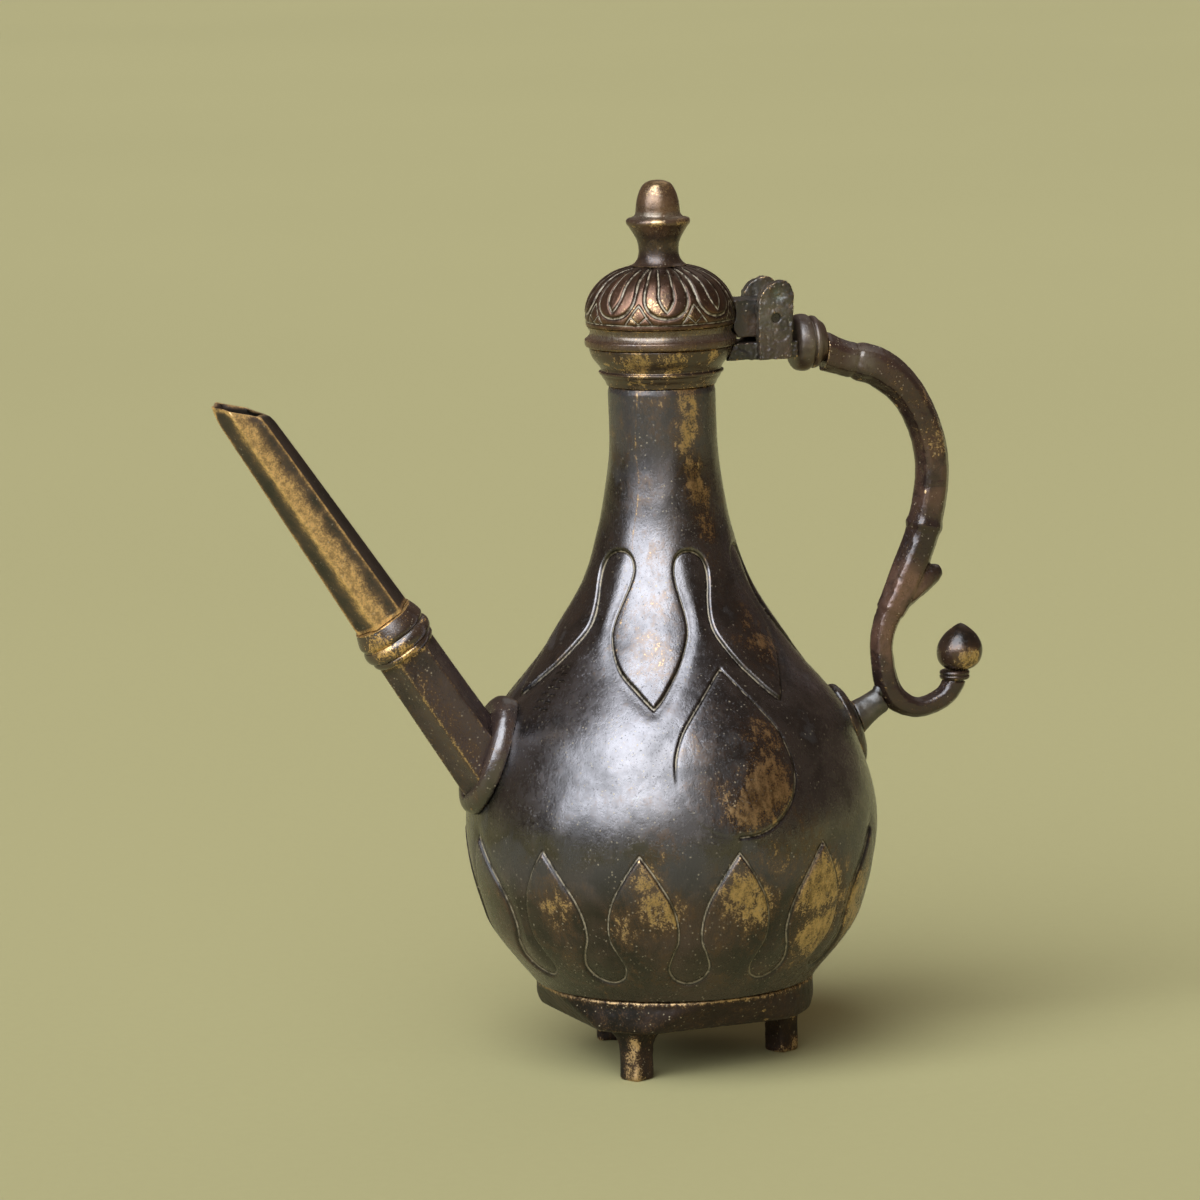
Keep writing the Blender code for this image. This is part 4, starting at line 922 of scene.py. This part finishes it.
def aged_brass(name, dark=DARK, mid=PLUM, worn=GOLD, metal=0.15, wear=0.0, edge=0.5, gold=(), stains_and_highlights=(),
               dust=0.25, rough=0.22, specks=0.5, lines=0.55, streak=0.5, halo=0.5, proud=0.0,
               ridge=0.0, ior=1.86, broken=(1.15, 1.15, 1.0), fade=(0.40, 0.66), shine=0.95, patchy=0.35,
               polish=None, bands=()):
    """Brass under a dark oxide skin: mottled browns, brass where it is rubbed, dust in the hollows; painted
    shade along chased lines, and some patches of painted highlight and painted shade.
    """
    material = bpy.data.materials.new(name)
    t = Skin(material, streak)
    colour = oxide(t, dark, mid, stains_and_highlights, bands)
    burnished = 0.0
    if polish:
        burnished = burnish(t, polish)
        colour = t.mix(burnished, colour, STEEL)
    # Where it is rubbed, the skin thins to bronze first, and then the metal is bare.
    rubbed = rubbing_and_highlight(t, wear, gold, proud, ridge, broken, edge)
    thin = t.ramp(rubbed, 0.02, 0.46, 0.0, halo)
    colour = t.mix(thin, colour, tuple(0.75 * c + 0.03 * d for c, d in zip(BRONZE, worn)))
    bare = t.ramp(rubbed, *fade)
    shade = t.ramp(t.plus(t.grain, t.times(t.fine, 0.8)), 0.70, 1.10)
    colour = t.mix(bare, colour, t.mix(shade, tuple(c * patchy for c in worn), worn))
    # Dust in the hollows, and spots of verdigris
    hollow = t.ramp(t.point, 0.495, 0.44, 0.0, 1.0)
    dusty = t.times(t.times(hollow, dust), t.ramp(t.grain, 0.35, 0.6), clamp=True)
    colour = t.mix(dusty, colour, DUST)
    green = t.times(t.ramp(t.cloud, 0.68, 0.80), t.ramp(t.fine, 0.5, 0.68, 0.0, 0.4))
    colour = t.mix(green, colour, GREEN)
    # Chased lines: painted shade darkens their flanks, and a pale scraped bottom
    line = t.mark("line")
    colour = t.mix(t.ramp(line, 0.08, 0.5, 0.0, 0.7), colour, tuple(c * 0.6 for c in DARK))
    scraped = t.times(t.ramp(line, 0.55, 0.95), t.ramp(t.grain, 0.36, 0.58, 0.15, lines))
    colour = t.mix(scraped, colour, PALE_LINE)
    # Specks in drifts
    drift = t.ramp(t.noise(t.place, 60, 3), 0.38, 0.54, 0.0, specks)
    speck = t.add("TexVoronoi", {"Vector": t.place, "Scale": 560.0, "Randomness": 1.0})
    speck = t.times(t.ramp(speck, 0.22, 0.10), drift)
    speck = t.times(speck, t.ramp(t.fine, 0.42, 0.58))
    colour = t.mix(speck, colour, PALE_LINE)

    dull = t.plus(t.plus(dusty, scraped), speck, clamp=True)
    matt = t.plus(t.times(t.grain, 0.24), rough - 0.12)
    matt = t.plus(matt, t.times(t.cloud, 0.10))
    matt = t.plus(matt, t.times(dull, 0.3))
    matt = t.plus(matt, t.times(bare, 0.04), clamp=True)
    metallic = t.plus(t.times(t.math("MAXIMUM", bare, thin), shine - metal), metal)
    metallic = t.math("MAXIMUM", metallic, t.times(burnished, 1.9))
    shader = t.nodes["Principled BSDF"]
    shader.inputs["IOR"].default_value = ior
    t.links.new(colour, shader.inputs["Base Color"])
    t.links.new(matt, shader.inputs["Roughness"])
    t.links.new(t.math("SUBTRACT", metallic, dull, clamp=True), shader.inputs["Metallic"])
    t.links.new(fine_relief(t), shader.inputs["Normal"])
    return material


# Dress the nodes

# Shares of coarse, middle and fine pattern in the wear of small pieces and of the rubbed spout
SMALL_WEAR, SPOUT_WEAR = (0.5, 1.1, 1.5), (0.45, 0.6, 0.55)


def show(obj, body, material, *nodes):
    obj.data.materials.clear()
    obj.data.materials.append(material)
    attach(obj, body)
    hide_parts(*nodes)


def repaint(node, material):
    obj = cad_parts[node]
    obj.data.materials.clear()
    obj.data.materials.append(material)


# Places rubbed to the metal: a point from the axis, a radius and a strength
BODY_GOLD = (((34, -59, 68), 22, 0.74), ((34, -54, 52), 19, 0.66), ((50, -44, 60), 19, 0.55),
             ((55, -38, 50), 16, 0.48), ((3, -69, 71), 16, 0.52), ((10, -66, 64), 15, 0.54),
             ((14, -68, 79), 18, 0.40), ((25, -64, 88), 18, 0.36), ((-29, -63, 76), 12, 0.44),
             ((-23, -63, 64), 15, 0.50), ((-22, -66, 86), 12, 0.40), ((12, -65, 102), 18, 0.66),
             ((3, -67, 99), 16, 0.54), ((13, -60, 116), 14, 0.40), ((24, -32, 145), 16, 0.40),
             ((20, -29, 152), 12, 0.36), ((-53, -42, 64), 14, 0.34), ((-36, -55, 58), 14, 0.32),
             ((30, 58, 70), 26, 0.48), ((-10, 64, 66), 24, 0.48), ((-40, 50, 60), 20, 0.44),
             ((5, 66, 96), 24, 0.38))
# The front leg's corner and sole, and the right leg
LEG_GOLD = (((-26.5, -33.0, 3), 6, 0.62), ((-26.5, -33.2, 8), 5, 0.66), ((-26, -33.8, 12.5), 5, 0.60),
            ((-23, -35, 0), 5, 0.60), ((41, -9, 2), 6, 0.55), ((36, -11, 0), 5, 0.5), ((40, -9, 14), 6, 0.45))
LIP_GOLD = (((-126, -7, 229), 9, 0.45),)
# The dent in the outer face of each ear: reach, height
EAR_DENT = (38.4, 260.2)


def neck_streak():
    """A rubbed streak down the neck, which drifts to the right as the neck widens."""
    for z in range(184, 231, 5):
        below = max(0, 206 - z)
        yield (3.6 + 0.22 * below, -17.4 - 0.16 * below, z), 8, 0.46 - 0.06 * (z // 5 % 2)


def ring_edge():
    """The upper edge of the stand's ring, all round."""
    for turn in np.arange(0, TAU, TAU / 90):
        yield (47 * math.cos(turn), 47 * math.sin(turn), 28.6), 3.2, 0.42


def spout_front():
    """The front ridge of the upper spout, where a hand steadies it: worn brass, partly a painted highlight
    along the ridge.
    """
    for s in range(0, 80, 12):
        yield tuple(SPOUT_FOOT + (70 + s) * SPOUT_WAY - 3 * SPOUT_OVER - 8 * SIDE), 10.0, 0.22


def dress_vessel():
    body = aged_brass("body_patina", mid=BODY_BROWN, wear=0.02, edge=0.30, proud=0.22, specks=0.8, lines=0.8,
                      ior=1.6, polish=(62, 94, 182, 222), gold=(*BODY_GOLD, *neck_streak()))
    show(make_body(), "pot", body, "body_shell")
    stand = aged_brass("stand_patina", wear=0.04, edge=0.8, dust=0.35, specks=1.0, rough=0.42, ior=1.3,
                       broken=SMALL_WEAR, gold=(*LEG_GOLD, *ring_edge()))
    show(pitted(make_stand(), 0.12), "pot", stand, "foot_stand")
    repaint("base_disc", aged_brass("base_patina"))
    collar = aged_brass("collar_patina", dark=PLUM, mid=BROWN, metal=0.4, wear=0.26, dust=0.5, rough=0.18,
                        ior=2.1, broken=SMALL_WEAR,
                        gold=(((-14, -18.2, 240), 11, 0.70), ((-2, -23, 239), 9, 0.62),
                              ((11.5, -20, 242), 6, 0.55)))
    show(make_collar(), "pot", collar, "neck_collar")


def dress_spout():
    flange = aged_brass("flange_patina", mid=FLANGE_BROWN, wear=0.06, edge=0.3, dust=0.8, rough=0.18, ior=2.1)
    show(recast("spout_flange", voxel=0.4, rounds=5), "pot", flange, "spout_flange")
    lower = aged_brass("spout_lower_patina", dark=TUBE_DARK, mid=TUBE_PLUM, metal=0.1, wear=0.02, edge=0.35,
                       ridge=0.26, specks=0.9, rough=0.24, ior=1.6, broken=SMALL_WEAR)
    show(make_spout_lower(), "pot", lower, "spout_lower")
    knuckle = aged_brass("knuckle_brass", dark=PLUM, mid=BROWN, worn=SPOUT_BRASS, metal=0.4, wear=0.10,
                         edge=0.6, dust=0.6, rough=0.18, ior=2.3, broken=SMALL_WEAR, shine=0.7,
                         gold=(((-102, -8, 150), 9, 0.75), ((-95, -11, 147), 8, 0.65)))
    show(make_knuckle(), "pot", knuckle, "spout_knuckle")
    upper = aged_brass("spout_upper_brass", worn=SPOUT_BRASS, metal=0.3, ridge=0.86, rough=0.27, streak=1.0,
                       broken=SPOUT_WEAR, fade=(0.28, 0.86), shine=0.5, patchy=0.5, halo=0.75,
                       gold=(*LIP_GOLD, *spout_front()))
    show(make_spout_upper(), "pot", upper, "spout_upper")


def dress_hinge():
    reach, height = EAR_DENT
    hinge = aged_brass("hinge_patina", mid=HINGE_BROWN, metal=0.2, wear=0.08, edge=0.45, dust=1.0, specks=1.0,
                       rough=0.34, stains_and_highlights=((DUST, (34, -9, 254), 14, 0.38), (DUST, (36, 9, 254), 16, 0.5),
                                           (GREEN, (reach, -9, height), 3.5, 0.25)))
    bracket = recast("hinge_bracket", voxel=0.3, rounds=16)
    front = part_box("hinge_bracket")[0][1] / MM
    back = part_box("hinge_bracket")[1][1] / MM
    dents = [((reach, face, height), 2.6, 0.8) for face in (front, back)]
    show(pitted(bracket, 0.34, dents), "pot", hinge, "hinge_bracket")
    repaint("hinge_pin", aged_brass("pin_patina", wear=-0.2, edge=0.0, dust=0.6))


def dress_handle():
    bead = aged_brass("bead_patina", dark=PLUM, mid=BROWN, metal=0.3, wear=0.08, edge=0.45, dust=0.5,
                      rough=0.32, broken=SMALL_WEAR, stains_and_highlights=((DUST, (49, -9, 244), 9, 0.6),))
    show(make_bead(), "pot", bead, "handle_bead")
    # The copper patches are copper tone, and on the lower arch partly a painted highlight.
    grip = aged_brass("handle_patina", dark=GRIP_DARK, mid=GRIP_BROWN, metal=0.3, wear=0.06, edge=0.40,
                      rough=0.18, ior=1.8, broken=SMALL_WEAR,
                      stains_and_highlights=((COPPER, (84, -6, 156), 15, 0.7), (COPPER, (78, -5, 138), 14, 0.6),
                              (COPPER, (95, -6, 196), 20, 0.35), (DUST, (70, -6, 236), 8, 0.4)),
                      gold=(((98, -4, 208), 12, 0.42), ((94, -5, 224), 9, 0.45), ((86, -3, 146), 6, 0.5)))
    show(pitted(make_handle(), 0.10), "pot", grip, "handle_grip")
    ring = aged_brass("bud_ring_patina", mid=BROWN, metal=0.5, dust=0.5)
    show(make_bud_ring(), "pot", ring, "bud_ring")
    bud = aged_brass("bud_brass", mid=BROWN, metal=0.5, wear=0.12, edge=0.2, rough=0.16,
                     gold=(((107.5, -6, 131), 10, 0.62), ((110, 4, 132), 9, 0.5)))
    show(make_bud(), "pot", bud, "handle_bud")
    strut = aged_brass("strut_patina", wear=0.05, dust=0.8, rough=0.34,
                       stains_and_highlights=((DUST, (72, -5, 118), 9, 0.45),))
    show(pitted(make_strut(), 0.1), "pot", strut, "handle_strut")
    pad = aged_brass("pad_patina", wear=0.05, dust=0.5)
    show(recast("strut_pad", voxel=0.4, rounds=6), "pot", pad, "strut_pad")


def dress_lid():
    cove = RIM_BOTTOM + COVE * (RIM_TOP - RIM_BOTTOM)
    rim = aged_brass("lid_rim_patina", dark=BROWN, mid=BRONZE, metal=0.5, wear=0.22, edge=1.2, dust=1.0,
                     ior=2.1, broken=SMALL_WEAR, bands=((DUST, cove, 2.4, 0.55),))
    show(make_lid_rim(), "lid", rim, "lid_rim")
    # On the dome's front lobe the copper and brass patches are worn copper and partly a painted highlight.
    dome = aged_brass("lid_dome_patina", dark=BROWN, mid=COPPER, metal=0.85, wear=0.12, edge=0.3, dust=0.4,
                      rough=0.25, lines=1.0, streak=1.0, broken=SMALL_WEAR,
                      stains_and_highlights=((COPPER, (-8, -23, 262), 12, 0.9), (COPPER, (-17, -16, 260), 10, 0.5)),
                      gold=(((-8, -23, 260), 8, 0.5), ((-15, -19, 256), 6, 0.45), ((2, -24, 256), 6, 0.4)))
    show(make_dome(), "lid", dome, "lid_dome")
    # The plum band round the stem, under the lip, is painted shade; the pale band on the lip is dust.
    finial = aged_brass("finial_brass", dark=BROWN, mid=FINIAL_BRASS, metal=0.6, wear=0.10, edge=0.6,
                        dust=0.9, rough=0.24, streak=1.0, ior=2.1, broken=SMALL_WEAR,
                        bands=((PLUM, 277.5, 7.5, 1.0), (DUST, 288.4, 1.6, 0.6)),
                        gold=(((-1, -3, 301), 10, 0.80), ((-4, -11, 286), 6, 0.6), ((6, -9, 286), 5, 0.55)))
    show(make_finial(), "lid", finial, "lid_finial")
    tongue = aged_brass("tongue_patina", mid=BROWN, edge=0.3, dust=0.7, specks=0.9, rough=0.36)
    show(pitted(recast("lid_tongue", voxel=0.3, rounds=6), 0.12), "lid", tongue, "lid_tongue")


# Studio

FLOOR = (0.402, 0.367, 0.176)


def make_floor():
    mesh = bpy.data.meshes.new("floor")
    half = 60.0
    corners = [(-half, -half, 0), (half, -half, 0), (half, half, 0), (-half, half, 0)]
    mesh.from_pydata(corners, [], [(0, 1, 2, 3)])
    floor = new_object("floor", mesh)
    material = bpy.data.materials.new("floor_cloth")
    t = Tree(material)
    shader = t.nodes["Principled BSDF"]
    place = t.add("TexCoord", out=3)
    weave = t.noise(place, 240, 3)
    colour = t.mix(t.ramp(t.plus(t.noise(place, 0.6, 2), t.times(weave, 0.4)), 0.5, 0.9),
                   FLOOR, tuple(c * 0.97 for c in FLOOR))
    t.links.new(colour, shader.inputs["Base Color"])
    shader.inputs["Roughness"].default_value = 0.9
    shader.inputs["Specular IOR Level"].default_value = 0.2
    mesh.materials.append(material)


# The camera stands to the left, towards the spout: its distance and height in metres, and its lens in mm
VIEW_TURN = math.radians(17.5)
VIEW_FAR, VIEW_HEIGHT, VIEW_LENS = 1.950, 0.447, 174.689
VIEW_PITCH, VIEW_YAW, VIEW_ROLL = math.radians(8.42734), math.radians(-0.6590), math.radians(-1.35944)


def facing(turn, pitch):
    """Rotation of a lamp or camera that stands at an angle round from -Y and looks down by a pitch."""
    return Matrix.Rotation(turn, 4, "Z") @ Matrix.Rotation(math.pi / 2 - pitch, 4, "X")


def soft_light(name, azimuth, elevation, spread, strength, colour):
    """A wide far light; azimuth 0 is the camera's side, positive to its right."""
    data = bpy.data.lights.new(name, "SUN")
    data.angle = math.radians(spread)
    data.energy = strength
    data.color = colour
    turned = facing(math.radians(azimuth) - VIEW_TURN, math.radians(elevation))
    new_object(name, data).matrix_world = turned @ Matrix.Translation((0, 0, 3))


def make_camera():
    data = bpy.data.cameras.new("camera")
    data.sensor_width = 36.0
    data.lens = VIEW_LENS
    data.clip_end = 200
    camera = new_object("camera", data)
    place = (AXIS - VIEW_FAR * math.sin(VIEW_TURN), -VIEW_FAR * math.cos(VIEW_TURN), VIEW_HEIGHT)
    turned = facing(-VIEW_TURN - VIEW_YAW, VIEW_PITCH) @ Matrix.Rotation(VIEW_ROLL, 4, "Z")
    camera.matrix_world = Matrix.Translation(place) @ turned
    bpy.context.scene.camera = camera


def make_studio():
    scene = bpy.context.scene
    scene.view_settings.view_transform = "Standard"
    make_floor()
    soft_light("fill", azimuth=-4, elevation=27, spread=56, strength=0.42, colour=(1.0, 0.97, 0.90))
    soft_light("back", azimuth=165, elevation=50, spread=40, strength=0.15, colour=(1.0, 0.98, 0.95))
    scene.world = make_room()


ROOM, WINDOW = (0.150, 0.110, 0.082), (5.05, 5.40, 5.95)
# The window's soft edges in degrees, each from outside to inside; its sill rises to the right
WINDOW_LEFT, WINDOW_RIGHT, WINDOW_SILL, WINDOW_HEAD = (-72, -60), (16, 4), (14, 28), (82, 72)
SILL_RISE = 0.17


def make_room():
    """A dim warm room with one broad soft window, up to the left of the camera."""
    world = bpy.data.worlds.new("studio")
    t = Tree(world)
    way = t.add("TexCoord")
    c, s = math.cos(VIEW_TURN), math.sin(VIEW_TURN)

    def along(axis):
        return t.measure("DOT_PRODUCT", way, axis)

    def edge(value, outside, inside):
        return t.ramp(value, math.radians(outside), math.radians(inside))

    azimuth = t.math("ARCTAN2", along((c, -s, 0)), along((-s, -c, 0)))
    height = t.math("ARCSINE", along((0, 0, 1)))
    sill = t.math("SUBTRACT", height, t.times(azimuth, SILL_RISE))
    wide = t.times(edge(azimuth, *WINDOW_LEFT), edge(azimuth, *WINDOW_RIGHT))
    tall = t.times(edge(sill, *WINDOW_SILL), edge(height, *WINDOW_HEAD))
    shown = t.times(wide, tall)
    t.links.new(t.mix(shown, ROOM, WINDOW), t.nodes["Background"].inputs["Color"])
    return world


make_camera()
make_studio()
dress_vessel()
dress_spout()
dress_hinge()
dress_handle()
dress_lid()
